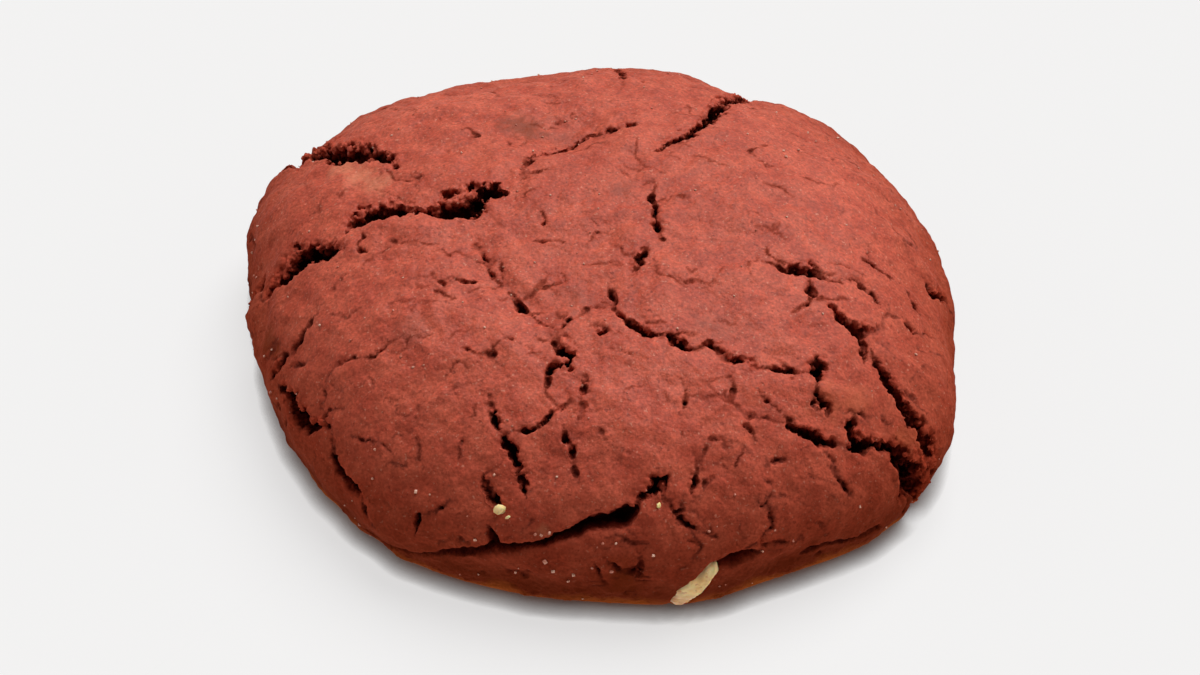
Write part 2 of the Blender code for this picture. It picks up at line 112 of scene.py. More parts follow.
# Cracks through the crust, as the places they run through with the width there: (right, back, width)
CRACKS = {
    "top left notch": [
        (-47.5, 25.5, 6.0), (-42.0, 22.4, 5.2), (-38.5, 20.0, 4.6), (-35.5, 17.8, 4.8), (-33.0, 15.5, 4.2),
        (-29.0, 13.5, 3.2), (-26.5, 12.0, 2.4), (-24.0, 9.5, 0.9),
    ],
    "notch tail": [(-25.0, 8.5, 0.5), (-24.0, 7.0, 0.5), (-22.0, 6.0, 0.35)],
    "top left crease": [(-26.5, 5.5, 0.3), (-25.0, 4.5, 0.4), (-22.5, 2.0, 0.35)],
    "upper left": [
        (-31.5, -1.0, 1.0), (-30.5, 0.2, 2.3), (-28.0, 1.0, 2.6), (-25.0, 1.2, 2.9), (-23.0, 0.4, 2.7),
        (-20.5, -0.2, 3.6), (-18.5, 0.2, 4.2), (-16.0, 0.6, 3.6), (-13.0, 2.5, 2.7), (-11.0, 2.4, 0.9),
    ],
    "left": [
        (-32.0, -4.0, 1.2), (-34.0, -3.0, 2.9), (-38.0, -2.0, 4.2), (-41.5, -3.5, 3.5), (-44.0, -4.2, 2.0),
    ],
    "left outer": [(-45.5, -1.0, 1.2), (-46.5, -1.5, 2.3), (-49.0, -2.5, 2.2)],
    "plate back": [
        (-8.5, 7.0, 0.6), (-7.5, 9.5, 1.2), (-5.5, 12.0, 1.5), (-3.0, 14.5, 1.1), (-1.5, 16.0, 0.6),
    ],
    "plate back right": [(-1.5, 16.0, 0.6), (1.0, 15.5, 0.7), (3.5, 16.0, 1.2), (5.0, 16.5, 0.5)],
    "plate back left": [(-8.5, 7.5, 0.9), (-9.0, 6.0, 0.6), (-9.0, 4.5, 0.35)],
    "plate spur": [(-9.0, 5.5, 0.6), (-7.5, 5.0, 0.6), (-5.5, 6.0, 0.35)],
    "top right": [
        (7.5, 11.0, 0.8), (11.0, 14.0, 1.8), (14.0, 18.5, 2.0), (16.5, 24.0, 2.5), (20.0, 30.5, 3.1),
        (24.5, 38.0, 2.6),
    ],
    "back nick": [(2.5, 37.0, 1.5), (3.0, 30.0, 0.9), (3.0, 26.5, 0.35)],
    "plate right, far": [(5.0, 12.5, 0.35), (5.0, 10.0, 0.4), (5.5, 7.0, 0.35)],
    "plate right": [(6.5, 4.5, 0.35), (6.5, 1.0, 0.6), (6.5, -3.0, 1.0), (7.0, -5.5, 0.6)],
    "slot": [(5.5, -7.5, 0.9), (5.0, -9.0, 1.3), (4.5, -10.5, 1.3), (4.0, -11.8, 0.6)],
    "tooth": [(1.0, -14.0, 0.45), (1.5, -15.0, 0.7), (1.5, -16.3, 0.5)],
    "main": [
        (0.5, -16.5, 0.4), (2.5, -18.0, 0.8), (4.0, -19.5, 1.3), (5.5, -20.5, 1.6), (6.5, -20.7, 0.6),
        (7.7, -20.9, 0.8), (8.8, -21.5, 1.5), (10.0, -22.1, 1.3), (11.3, -22.2, 0.6), (12.7, -21.8, 1.0),
        (14.0, -22.5, 1.3), (16.0, -23.2, 1.0), (17.5, -23.7, 1.2), (18.9, -23.1, 0.5), (19.8, -23.3, 1.1),
        (21.2, -23.3, 1.1), (22.3, -23.1, 0.5), (24.0, -22.5, 0.7),
    ],
    "main branch": [(4.5, -19.0, 0.4), (6.0, -19.0, 0.4), (7.5, -19.0, 0.4)],
    "right drop": [
        (24.3, -20.8, 0.9), (24.3, -21.8, 1.9), (24.3, -22.8, 1.6), (24.2, -23.8, 0.5), (24.5, -25.0, 0.8),
        (25.0, -26.0, 1.0), (25.3, -27.3, 0.5),
    ],
    "heart": [(-5.5, -22.3, 0.7), (-5.0, -23.2, 1.6), (-3.7, -24.3, 2.2), (-4.0, -25.6, 1.0)],
    "heart tail": [
        (-4.5, -25.5, 1.1), (-6.2, -26.3, 1.0), (-6.5, -28.5, 0.6), (-6.0, -30.0, 0.4), (-5.5, -31.0, 0.4),
    ],
    "heart fork": [(-3.5, -30.5, 0.4), (-6.0, -32.0, 0.9), (-8.0, -33.5, 0.8), (-11.0, -34.0, 0.45)],
    "valley, back": [(-15.5, -6.0, 0.6), (-14.5, -8.0, 0.7), (-13.5, -11.0, 0.7), (-12.3, -12.8, 0.5)],
    "valley, side": [(-12.5, -9.0, 0.45), (-12.3, -10.3, 0.6), (-12.0, -11.8, 0.5)],
    "valley, front": [
        (-11.0, -14.0, 0.5), (-9.5, -16.0, 0.75), (-8.0, -18.5, 0.7), (-5.5, -20.5, 0.65),
        (-5.5, -22.0, 0.6),
    ],
    "arc": [
        (0.5, -16.5, 0.35), (-1.5, -17.0, 0.35), (-3.0, -18.5, 0.35), (-4.0, -19.5, 0.7),
        (-5.0, -20.5, 0.35),
    ],
    "small hole": [(0.0, -21.5, 0.7), (0.5, -21.0, 1.1), (1.0, -20.4, 0.4)],
    "middle pair, upper": [(-2.0, -27.3, 0.5), (-1.5, -28.5, 1.2), (-1.6, -29.6, 0.8)],
    "middle pair, lower": [(-2.5, -30.3, 0.7), (-2.4, -31.5, 1.3), (-2.5, -32.7, 0.5)],
    "middle thread": [
        (-4.5, -34.0, 0.5), (-4.0, -35.5, 0.8), (-3.5, -36.5, 0.8), (-3.4, -38.5, 0.4), (-3.0, -40.0, 0.35),
    ],
    "left fork, upper": [
        (-13.5, -28.0, 0.35), (-13.4, -30.0, 0.5), (-12.7, -32.0, 1.2), (-12.0, -33.6, 0.6),
    ],
    "left fork": [
        (-11.8, -34.2, 0.8), (-11.0, -36.0, 1.7), (-10.0, -37.5, 1.2), (-9.6, -39.3, 1.4),
        (-8.8, -41.5, 0.6),
    ],
    "curl": [
        (-12.5, -38.0, 0.4), (-13.8, -39.0, 0.9), (-13.5, -40.5, 0.9), (-12.5, -41.5, 1.5),
        (-12.0, -42.2, 0.7),
    ],
    "lip, left": [
        (-36.0, -42.3, 0.6), (-34.3, -44.0, 1.4), (-31.0, -45.5, 1.6), (-28.0, -46.7, 1.1),
        (-24.2, -47.2, 1.0), (-20.8, -47.4, 1.2), (-16.8, -47.5, 1.3), (-13.9, -47.2, 1.7),
    ],
    "lip, right": [
        (-13.9, -47.2, 1.7), (-11.5, -47.3, 1.5), (-9.0, -47.2, 1.4), (-6.8, -47.0, 1.6),
        (-5.0, -46.4, 1.8), (-3.2, -45.9, 2.1), (-1.3, -45.0, 2.2), (0.6, -44.6, 2.5), (2.5, -43.9, 2.8),
        (4.3, -42.6, 1.4),
    ],
    "lip well": [(-13.9, -44.5, 1.0), (-13.9, -45.2, 1.9), (-13.7, -46.2, 2.1), (-13.6, -47.0, 2.0)],
    "lip rise": [(4.3, -42.6, 1.2), (5.5, -41.0, 0.9), (6.6, -39.9, 2.0), (7.5, -38.6, 1.0)],
    "lip under": [
        (6.9, -39.6, 1.3), (7.6, -40.9, 0.9), (8.7, -42.0, 1.1), (10.0, -43.5, 0.8), (12.0, -44.3, 0.4),
    ],
    "right of the middle": [
        (12.0, -34.5, 0.4), (11.5, -36.5, 0.8), (11.4, -38.2, 1.4), (10.7, -39.5, 0.8), (11.0, -40.8, 0.4),
    ],
    "dot": [(12.5, -35.0, 0.6), (13.2, -33.7, 0.6)],
    "tick, lower": [(16.5, -34.5, 0.5), (16.0, -36.2, 0.7)],
    "tick, upper": [(17.0, -31.5, 0.6), (18.2, -32.7, 0.5)],
    "thread, upper": [(15.0, -25.5, 0.35), (15.5, -26.7, 0.5), (15.0, -28.7, 0.45)],
    "thread, lower": [(12.0, -27.0, 0.35), (15.0, -29.0, 0.4), (17.0, -30.3, 0.5), (21.0, -30.0, 0.35)],
    "lower right": [
        (21.7, -30.3, 0.8), (23.5, -30.5, 1.5), (25.0, -30.7, 1.7), (27.0, -31.0, 0.7), (28.3, -31.0, 0.5),
    ],
    "lower right tail": [(26.0, -32.0, 0.5), (27.5, -33.7, 0.5), (28.5, -35.5, 0.4), (30.0, -36.5, 0.35)],
    "gap, left": [
        (28.5, -27.3, 1.0), (28.6, -28.7, 1.8), (29.7, -29.7, 2.1), (32.5, -29.5, 1.3), (34.0, -29.0, 1.7),
    ],
    "gap": [
        (34.0, -29.0, 1.8), (36.0, -30.0, 3.0), (38.0, -30.6, 4.3), (41.0, -32.0, 5.2), (44.0, -33.0, 4.6),
        (48.0, -35.0, 3.0),
    ],
    "gap, top": [
        (30.5, -18.0, 0.5), (32.0, -20.5, 1.2), (34.5, -23.0, 1.4), (36.5, -25.0, 1.6), (38.5, -26.3, 2.4),
        (40.5, -29.0, 3.0),
    ],
    "right": [
        (18.5, -8.5, 0.35), (21.0, -9.0, 0.9), (24.5, -9.0, 1.5), (26.5, -9.5, 0.8), (28.5, -9.7, 0.6),
    ],
    "right, hair": [(19.5, -6.5, 0.45), (20.0, -7.5, 0.5), (21.2, -8.3, 0.5)],
    "right, end": [(29.0, -9.0, 0.4), (31.0, -9.5, 0.6), (32.5, -10.5, 0.7), (33.5, -12.0, 0.4)],
    "right link": [(24.0, -10.0, 0.5), (24.0, -12.0, 0.9), (23.5, -13.7, 0.6), (21.5, -15.0, 0.35)],
    "right link, hair": [(24.5, -12.5, 0.4), (26.5, -12.5, 0.35), (28.5, -12.0, 0.35)],
    "right fork": [
        (26.0, -14.0, 1.0), (27.3, -15.0, 1.7), (28.3, -15.2, 1.3), (29.5, -15.7, 1.9), (31.0, -15.5, 1.0),
        (32.5, -14.5, 0.7), (34.0, -13.0, 0.4), (36.0, -12.5, 0.35),
    ],
    "right fork, drop": [(29.0, -16.0, 1.8), (29.4, -17.7, 1.2), (29.5, -19.8, 0.5)],
    "rim nicks": [
        (37.0, -13.0, 0.9), (38.0, -13.7, 1.0), (39.0, -13.5, 0.4), (41.0, -13.0, 0.8), (42.0, -13.0, 0.5),
    ],
    "right crease": [(32.0, -5.0, 0.5), (33.5, -5.5, 0.7), (34.5, -6.5, 0.7), (36.5, -6.5, 0.45)],
    "right tick": [(38.5, -7.0, 0.5), (39.2, -9.0, 1.0), (40.0, -10.2, 0.45)],
    "right rim": [(42.5, -4.0, 0.7), (43.7, -4.8, 1.7), (46.5, -3.0, 1.5)],
    "lower left": [
        (-44.0, -19.0, 0.9), (-42.3, -21.3, 1.9), (-41.0, -24.0, 2.3), (-39.0, -27.0, 2.1),
        (-37.3, -27.6, 1.7), (-35.5, -28.5, 0.7),
    ],
    "lower left spur": [(-35.5, -27.0, 0.7), (-34.0, -26.5, 0.6), (-32.5, -27.0, 0.5)],
    "lower left tail": [
        (-35.0, -29.5, 0.5), (-35.0, -32.5, 1.1), (-33.7, -35.5, 1.1), (-31.8, -38.3, 1.1),
        (-32.0, -40.3, 0.9),
    ],
    "left side": [(-36.0, -12.5, 0.4), (-38.3, -14.3, 0.8), (-40.0, -16.0, 0.6)],
    "left side, outer": [(-42.0, -15.5, 0.7), (-43.2, -16.5, 1.2), (-45.3, -17.0, 1.0)],
    "left crease": [
        (-25.0, -20.5, 0.35), (-27.5, -21.5, 0.8), (-29.0, -21.5, 0.4), (-32.0, -21.0, 0.8),
        (-34.5, -22.5, 0.5),
    ],
    "lower left thread": [
        (-31.5, -30.5, 0.45), (-29.0, -31.5, 0.55), (-27.0, -32.5, 0.5), (-26.3, -33.7, 0.35),
    ],
    "front tick": [(-23.0, -41.5, 0.4), (-24.0, -42.7, 0.9), (-24.5, -43.7, 0.5)],
    "rim, left end": [(15.0, -48.2, 1.0), (17.0, -47.5, 2.2), (19.5, -46.5, 1.9), (20.7, -46.0, 0.7)],
    "foot fold": [
        (1.9, -45.8, 0.3), (2.8, -45.9, 0.4), (4.0, -46.6, 0.55), (5.0, -46.4, 0.5), (6.0, -46.3, 0.3),
    ],
    "foot step": [(10.7, -44.0, 0.3), (11.5, -44.8, 0.45), (12.5, -46.0, 0.5), (11.4, -47.5, 0.3)],
    "rim, upper": [(21.0, -41.5, 0.8), (20.7, -43.0, 0.5), (20.0, -44.2, 0.7), (20.5, -45.2, 0.8)],
    "rim, middle": [(18.5, -45.5, 0.4), (21.5, -44.8, 0.8), (24.0, -44.0, 0.5), (26.0, -43.5, 0.35)],
    "rim, right": [
        (28.0, -46.0, 0.5), (29.5, -44.0, 1.1), (31.5, -43.0, 0.8), (34.0, -42.0, 1.1), (38.0, -39.0, 1.5),
    ],
    "rim tick": [(27.0, -40.5, 0.4), (28.3, -40.9, 0.4), (29.5, -42.0, 0.35)],
}

# Folds rather than breaks: their edges are soft, and hold no crumbs
SOFT_EDGED = {"lip, left", "lip, right", "lip well", "rim, left end", "rim, right", "foot fold", "foot step"}

# Cracks that don't go straight in, and where their depth leans to
LEANS = {
    "lip, left": (0, 0, 0.15), "lip, right": (0, 0, 0.15), "rim, left end": (0, 0, 0.2),
    "rim, right": (0, 0, 0.2), "left": (0, 0.45, 0), "upper left": (0, 0.3, 0),
    "top left notch": (0, 0.3, 0), "top right": (0, 0.2, 0),
}

# Fine cracks that hardly open
HAIRLINES = [
    [(-22.5, -13.1), (-20.9, -13.1)], [(-20.0, -13.9), (-18.1, -14.9), (-17.6, -15.1)],
    [(-17.7, -12.2), (-15.4, -12.5)], [(-25.8, -4.6), (-23.6, -5.4), (-20.2, -6.1)],
    [(-31.1, -8.3), (-32.4, -9.0), (-33.1, -9.9)], [(-29.2, -2.7), (-29.9, -4.4), (-28.8, -5.4)],
    [(-8.1, -5.9), (-4.7, -6.1)], [(-4.6, -11.3), (-4.5, -12.4)], [(-7.3, -13.3), (-4.9, -13.0)],
    [(-1.8, -10.4), (2.4, -9.9)], [(-7.3, -1.6), (-6.8, -2.9)], [(1.2, -23.6), (3.6, -24.2)],
    [(-15.9, -22.9), (-14.4, -23.7), (-12.8, -23.5)], [(-12.4, -22.6), (-11.6, -21.6), (-10.6, -21.6)],
    [(-22.3, -33.0), (-22.1, -35.1)], [(-17.0, -34.2), (-17.1, -36.2)], [(11.2, -45.4), (12.1, -45.9)],
    [(12.2, -44.0), (13.8, -44.7)], [(1.3, -49.0), (3.6, -50.3), (6.4, -50.5)],
    [(-0.8, -49.6), (0.0, -51.3), (1.1, -52.7)], [(21.1, 13.4), (19.0, 11.2)],
    [(10.0, -28.2), (9.6, -29.9)], [(9.3, -32.6), (9.5, -33.4)], [(0.1, -34.2), (0.5, -35.2)],
    [(20.1, -35.0), (22.2, -34.4)], [(26.8, -33.6), (28.2, -35.0), (29.5, -36.3)],
    [(20.0, -37.5), (20.1, -39.6), (20.9, -42.4)], [(18.1, -26.8), (20.1, -28.6), (21.7, -29.7)],
]
HAIRLINE_WIDTH = 0.5
STRAY_HAIRLINES = 300  # short ones all round, as any crackled crust has
STRAY_REACH = 57.0  # how far from the crown they lie
STRAY_LENGTH = (1.0, 6.5)
STRAY_WIDTH = (0.2, 0.5)
STRAY_STEP = 0.8
STRAY_COURSE = (-0.15, 0.55)  # mean and spread of their headings, in radians from straight right
STRAY_TURN = 0.6  # how far each step strays from that course

# Marks baked into the crust: colour, how strong, then places as (right, back, radius)
STAINS = {
    # greyish brown patches, darker than the crust around them
    "grey_brown_patches": ("#8C4536", 0.45, [
        (2.4, 2.5, 1.5), (-3.1, -15.4, 1.8), (-22.7, -19.0, 2.4), (13.1, -18.5, 2.2), (-4.7, 16.3, 2.0),
        (-21.9, -48.5, 1.0),
    ]),
    "pale_tan": ("#DC8A68", 0.5, [
        (-30.5, 11.1, 2.0), (-28.5, 8.8, 2.2), (-26.5, 6.5, 1.8), (-7.2, -45.6, 0.8),
    ]),
    "orange": ("#D46C48", 0.5, [(35.7, -28.0, 2.2), (25.7, -25.6, 2.0), (28.5, -25.0, 2.0)]),
    "browned": ("#8A3A1C", 0.8, [
        (-44.8, -11.5, 1.6), (-43.5, -14.0, 1.4), (-10.0, 17.0, 2.5), (3.0, -52.0, 3.0),
    ]),
}
STAIN_REACH = 1.3  # where a stain has faded out, in radii
STAIN_BITTEN, STAIN_JAGGED = 0.35, 0.2  # how broken its edge is

# White chocolate chunk, bedded in the foot: corners as map place and height out of the crust
CHUNK_OUTLINE = [
    (13.6, -48.0, -0.4), (15.2, -47.9, -0.3), (15.8, -48.8, -0.2), (14.7, -53.2, -0.3), (13.6, -56.0, -0.2),
    (11.9, -57.2, -0.2), (10.7, -55.9, 0.0), (10.6, -53.0, 0.1), (11.8, -49.9, -0.1),
]
CHUNK_CREST = [
    (14.8, -49.8, 0.7), (14.1, -52.8, 0.8), (13.2, -55.2, 0.6),
    (12.2, -51.5, 0.5), (11.7, -54.5, 0.4), (11.9, -56.0, 0.3),
]
CHUNK_DEPTH = 2.4
CHUNK_POCKET = [(11.2, -58.0, 1.4), (12.4, -55.5, 3.0), (13.8, -51.5, 3.0), (14.9, -48.6, 1.9)]
POCKET_DEPTH = 3.4
CALM_ROUND_CHUNK = (3.8, 2.4)  # how far from its pocket's middle the crust begins to lie calm, and is so
CHUNK_VOXEL = 0.13
CHUNK_WEAR = 2  # how many times its edges are worn down
DUST_REACH = 0.6  # how far from the dough crumb sticks to the chunk

# Small bits of white chocolate and loose sugar on the crust: (right, back, size)
CHOCOLATE_BITS = [(-12.4, -42.7, 1.05), (-11.3, -43.6, 0.5), (7.1, -41.9, 0.7)]
SUGAR = [
    (23.4, 10.9, 0.40), (23.3, 12.5, 0.36), (25.5, 13.8, 0.40), (-1.0, -50.0, 0.32), (-12.0, -51.6, 0.32),
    (-7.4, -46.0, 0.32), (-23.1, -39.0, 0.40), (32.1, -37.2, 0.36), (16.0, -39.6, 0.32), (-8.2, -45.8, 0.36),
    (-6.4, -45.7, 0.40), (0.4, -46.9, 0.32), (-6.4, -50.3, 0.40), (-3.6, -51.3, 0.44), (1.6, -50.2, 0.40),
    (-16.0, -45.7, 0.40), (6.8, -47.7, 0.36), (-4.4, -52.4, 0.36), (-7.1, -49.1, 0.50),
]
STRAY_GRAINS = 220  # more of them, all round
GRAIN_SIZES = (0.16, 0.34)
GRAIN_REACH = 0.97  # how far they go down the side, as a share of the crust's reach
PROUD = 0.15  # how far above the crust the middle of a bit lies, as a share of its size
CHOCOLATE_LUMPY, SUGAR_LUMPY, CRUMB_LUMPY = 0.45, 0.1, 0.27
CRYSTAL, CRYSTAL_WEAR = (1.0, 0.8, 0.7), 0.12  # a grain's sides and worn edges, in units of its size
LUMP_DENTS, LUMP_BULGES = 0.8, 0.4  # how far a lump's corners move in and out, as shares of how lumpy it is

# Fineness of the meshes
GRID_STEP = 0.18
WAY_STEP, COARSE_STEP = 0.2, 1.0
PROFILE_POINTS = 201
VOXEL = 0.2
NOISE_CELLS = 64
NOISE_GAIN = 1.8  # brings most values of a noise to between -1 and 1
NOISE_SHIFT = 0.37  # moves the cells of each seed away from the others'

# How the dough broke. Each jaggedness is a sum of noises: cell size, seed and share
JAG = [(2.2, 1, 0.6), (0.95, 2, 0.45), (0.45, 3, 0.24)]
WAVE = [(2.3, 7, 0.6), (1.0, 8, 0.3)]
BITE = [(1.2, 4, 0.6), (0.55, 5, 0.5)]
TEETH = [(0.42, 9, 1.0)]
FLOOR = [(2.1, 6, 0.6), (0.8, 10, 0.6)]
DEEPEST_CUT = 6.0
DEPTH_WIDTH = 1.8  # a crack this wide is nearly two thirds as deep as the deepest
DEPTH_POWER = 1.4
SHOULDER = 4.0  # how far from a crack its raised edge reaches
SOFT_EDGE = 0.3  # how ragged a fold is, where a break is 1
SIDE_GAIN = 1.5  # how soon a crack has a far and a near side as it turns across the view
STRAY_LEAST, STRAY_PER_MM = 0.3, 0.12  # how far a crack strays from its way
WAVER = 0.3  # how much its width changes along it
OPEN_LEAST, OPEN_MORE, OPEN_WIDTH = 0.66, 0.34, 2.0  # a narrow crack is less open than its width says
BITE_LEAST, BITE_PER_MM, BITE_SHARE = 0.28, 0.05, 0.42  # how deep its edges are bitten
TOOTH_SHARE, TOOTH_MOST = 0.12, 0.12  # fine teeth on them, as a share of the width and at most in mm
WALL_LEAST, WALL_PER_MM, WALL_FAR, WALL_SOFT = 0.1, 0.06, 0.16, 0.8  # how far its walls slope
LEVEL, LEVEL_RANGE = 0.8, (0.15, 1.15)  # how far its floor goes down, as a share of its depth
PATCHY, PATCHY_NARROW, NARROW = 0.45, 0.35, 1.8  # its floor goes up and down, more so where it is narrow
ROUND_SHARE, ROUND_MOST, ROUND_NEAR = 0.15, 0.06, 0.06  # how round its edges are
RISE, RISE_SIDES, RISE_FADE = 0.05, 1.2, 2.2  # how its edges are raised, and how far that reaches
DARK_CORE, DARK_FADE = 0.25, 0.2  # painted shade inside a crack: dark to this share of its width, and fading over this much
DARK_OFFSET, DARK_WIDTH = 0.25, 0.8  # its painted shade is full where it is 0.55 mm wide or wider
SHALLOW, SHALLOW_DARK = 0.45, 0.35  # a shallow floor has less painted shade
TORN_REACH, TORN_WIDTH, TORN_NEAR, TORN_FAR = 0.5, 0.3, 0.25, 0.75  # crumb on the crust beside it
CRUMBLY_DEPTH = (0.2, 0.8)  # from smooth edge to crumb

# Crumbs in the cracks
CRUMBS_PER_MM = 3.2  # along a crack 1 mm wider than the narrowest that holds any
CRUMB_CRACK = 0.7  # a crack narrower than this holds no crumbs
CRUMBS_POWER = 0.7
FAR_WALL_CHANCE = 0.35  # how much more than half of them lie on the far wall
CRUMB_ACROSS = (0.45, 1.1)  # how far from the middle, as a share of the way to the edge
CRUMB_DEPTH, CRUMB_DEPTH_POWER = 0.85, 1.8  # as a share of the crack's depth: most of them lie high up
NEAR_WALL_DEPTH = 0.8  # those on the near wall lie at least this deep
SMALLEST_CRUMB, LARGEST_CRUMB = 0.35, 1.3
CRUMB_SIZE, CRUMB_SIZE_PER_MM = 0.5, 0.25  # the largest in a crack, which grows with its width
CRUMB_BEDDED = 0.2  # how deep a crumb is bedded, as a share of its size
CRUMB_SHADE = 0.6  # a crumb takes less painted shade than the depth it lies at would give

# Relief of the skin and the chunk, as sums of noises: cell size, seed and height
CRUMB_RELIEF = [(1.25, 21, 0.44), (0.6, 22, 0.28)]
CRUMB_LEVEL = 0.45  # the pebbles' level that stays where the skin was
SKIN_RELIEF = [(3.4, 23, 0.18), (1.6, 24, 0.11), (0.75, 25, 0.055)]
FOOT_RELIEF = [(4.2, 26, 0.3), (1.9, 27, 0.16)]
CHIPS = [(2.2, 31, 0.16), (0.9, 32, 0.07), (0.4, 33, 0.03)]
DUST_EDGE = [(1.1, 34, 0.25)]
FRONT = (-30.0, -38.0)  # where the front of the foot begins, and where it is in full
FOOT_ROUGH, FOOT_ROUGH_HEIGHTS = 0.45, (8.0, 4.0)  # how like raw crumb, from the first height down
FOOT_LUMPY_HEIGHTS = (11.0, 7.0)  # where it begins, and where it is in full
RIM_HEIGHTS = (0.2, 2.5)  # from smooth at the floor to rough above it
SWELL_FADE = 10.0  # swells fade out over this much crust above the floor

# Colours of the crust and its crumb, the chocolate and the sugar; some crust colours carry painted shade and
# painted glints
CRUST_LIGHT = "#C95D45"
CRUST_DARK = "#B84D38"
# browned low side, darkened further as painted shade of the side turned from the light
BROWNED_AND_SHADED = "#581E08"
GOLDEN = "#98501E"
# pale sugar flecks, also painted glints
PALE_SPECK_AND_GLINT = "#E8A288"
PORE = "#74261A"
RIM_CRUMB = "#B8442C"
CRUMB = "#6C2014"
# crumb deep in the cracks, nearly black with painted shade
DEEP_CRUMB_SHADE = "#3C0F09"
CREAM = "#FFDD95"
CREAM_LIGHT = "#FFEAAE"
TOASTED = "#C06C2E"
STUCK_CRUMB = "#7C3A1C"
SUGAR_RED = "#C0705A"
SUGAR_PALE = "#DFB29C"

# Patterns of the crust: their sizes, and the heights and crack depths that they follow
MOTTLE = 3.4  # uneven baking
BLOTCH, BLOTCH_SHADE = 1.1, 0.12  # size, and how much lighter and darker
GRAIN, GRAIN_SHADE = 0.36, 0.24  # the sandy grain, likewise
SPECKS = [("pale", 0.42, 0.66, 0.76), ("pore", 0.6, 0.33, 0.25)]  # size, then where its noise shows it; the pale specks are sugar with painted glints
BROWNING_SHADE_HEIGHTS, BROWNING_AND_SHADE = (22.0, 4.5), 0.92  # browning with painted shade of the low side: where it begins and is in full, and how strong
GOLDEN_HEIGHTS, GOLDEN_SHARE = (6.5, 3.0), 0.85
PATCHES, PATCH_HEIGHT = 5.0, 6.0  # size, and how far they move the golden edge up and down
CRUMB_SHOWS, DEEP_SHADE_SHOWS = (0.1, 1.0), (0.5, 2.3)  # depths from first to full, of crumb and of the painted shade of deep cracks
SAND, SAND_HEIGHT = 0.45, 0.15  # the finest grain, as bump
DULL_HEIGHTS = (23.0, 11.0)  # from faint sheen to none
CRUST_ROUGHNESS, CRUST_SHINE = (0.62, 1.0), (0.44, 0.03)  # of the baked crust, and of raw crumb

# Patterns of the chocolate and the sugar
CLOUD, CLOUD_HEIGHT = 1.6, 6.0  # size, and how far it moves the toasted edge up and down
TOASTED_HEIGHTS = (1.6, -2.4)
DUST = 0.7  # size of the patches of crumb dust
MELT, MELT_HEIGHT = 0.5, 0.12  # the half melted face, as bump
MELT_GLOW, MELT_DEPTH = 0.3, 1.2  # light goes a little way into the chocolate
SUGAR_CLOUD = 3.0

# Camera
CAMERA_ELEVATION = 46.0  # degrees above the floor
CAMERA_DISTANCE = 255.0
CAMERA_TARGET = (0.75, -5.35, 8.0)
CAMERA_LENS = 60.0
CAMERA_SENSOR = 36.0
CAMERA_NEAR = 10.0

# Light and floor
SUN_STRENGTH, SUN_SPREAD = 2.85, 45.0  # its spread in degrees
SUN_PLACE = (0.32, 0.5, 1.0)
ROOM_COLOUR = "#FFEFE4"
ROOM_LIGHT = (0.04, 0.64)  # from the front and back, and from the left and right
FLOOR_LIGHT, HORIZON = 0.9, 0.05  # thrown back up, and how soft the horizon is
FLOOR_SIZE = 6000.0
PAPER = "#DADADA"
PAPER_GLOW = 0.67  # the share of its tone that comes from light all round
SHADE_REACH, SHADE_POWER = 2.5, 2.4  # how far from the cookie the paper is shaded, and how steeply


# Random unevenness


def smooth_noise(points, size, seed):
    """Random values from -1 to 1 at points, that change smoothly over cells of that size."""
    values = np.random.default_rng(seed).uniform(-1.0, 1.0, (NOISE_CELLS,) * 3)
    place = points / size + seed * NOISE_SHIFT
    corner = np.floor(place).astype(int)
    share = place - corner
    share = share * share * (3 - 2 * share)
    total = np.zeros(len(points))
    for step in itertools.product((0, 1), repeat=3):
        x, y, z = ((corner + step) % NOISE_CELLS).T
        total += values[x, y, z] * np.where(step, share, 1 - share).prod(axis=1)
    return total * NOISE_GAIN


def layered_noise(points, layers):
    """A sum of smooth noises, each with its cell size, seed and share."""
    return sum(smooth_noise(points, size, seed) * share for size, seed, share in layers)


def pebble_noise(points, size, seed):
    """From 0 in the seams to about 1 on top of lumps of that size, pressed together."""
    jitter = np.random.default_rng(seed).uniform(0.0, 1.0, (*(NOISE_CELLS,) * 3, 3))
    place = points / size
    corner = np.floor(place).astype(int)
    nearest = np.full(len(points), np.inf)
    second = np.full(len(points), np.inf)
    for step in itertools.product((-1, 0, 1), repeat=3):
        cell = corner + step
        x, y, z = (cell % NOISE_CELLS).T
        far = ((cell + jitter[x, y, z] - place) ** 2).sum(axis=1)
        second = np.minimum(second, np.maximum(nearest, far))
        nearest = np.minimum(nearest, far)
    return np.clip(np.sqrt(second) - np.sqrt(nearest), 0.0, 0.5) * 2


def blur_between(value, low, high):
    """0 at low, 1 at high, and smooth between."""
    share = np.clip((value - low) / (high - low), 0, 1)
    return share * share * (3 - 2 * share)


# The plain form of the crust, and places on its map


def catmull_rom(four, share):
    """The value a share of the way from the second of four values to the third, on a smooth curve."""
    before, start, end, after = four
    return 0.5 * (
        2 * start
        + (end - before) * share
        + (2 * before - 5 * start + 4 * end - after) * share**2
        + (3 * start - before - 3 * end + after) * share**3
    )


def plan_radius(azimuth):
    """The waist's radius towards each azimuth."""
    count = len(PLAN_RADII)
    place = (azimuth % math.tau) / math.tau * count
    first = np.floor(place).astype(int)
    return catmull_rom([PLAN_RADII[(first + step) % count] for step in (-1, 0, 1, 2)], place - first)


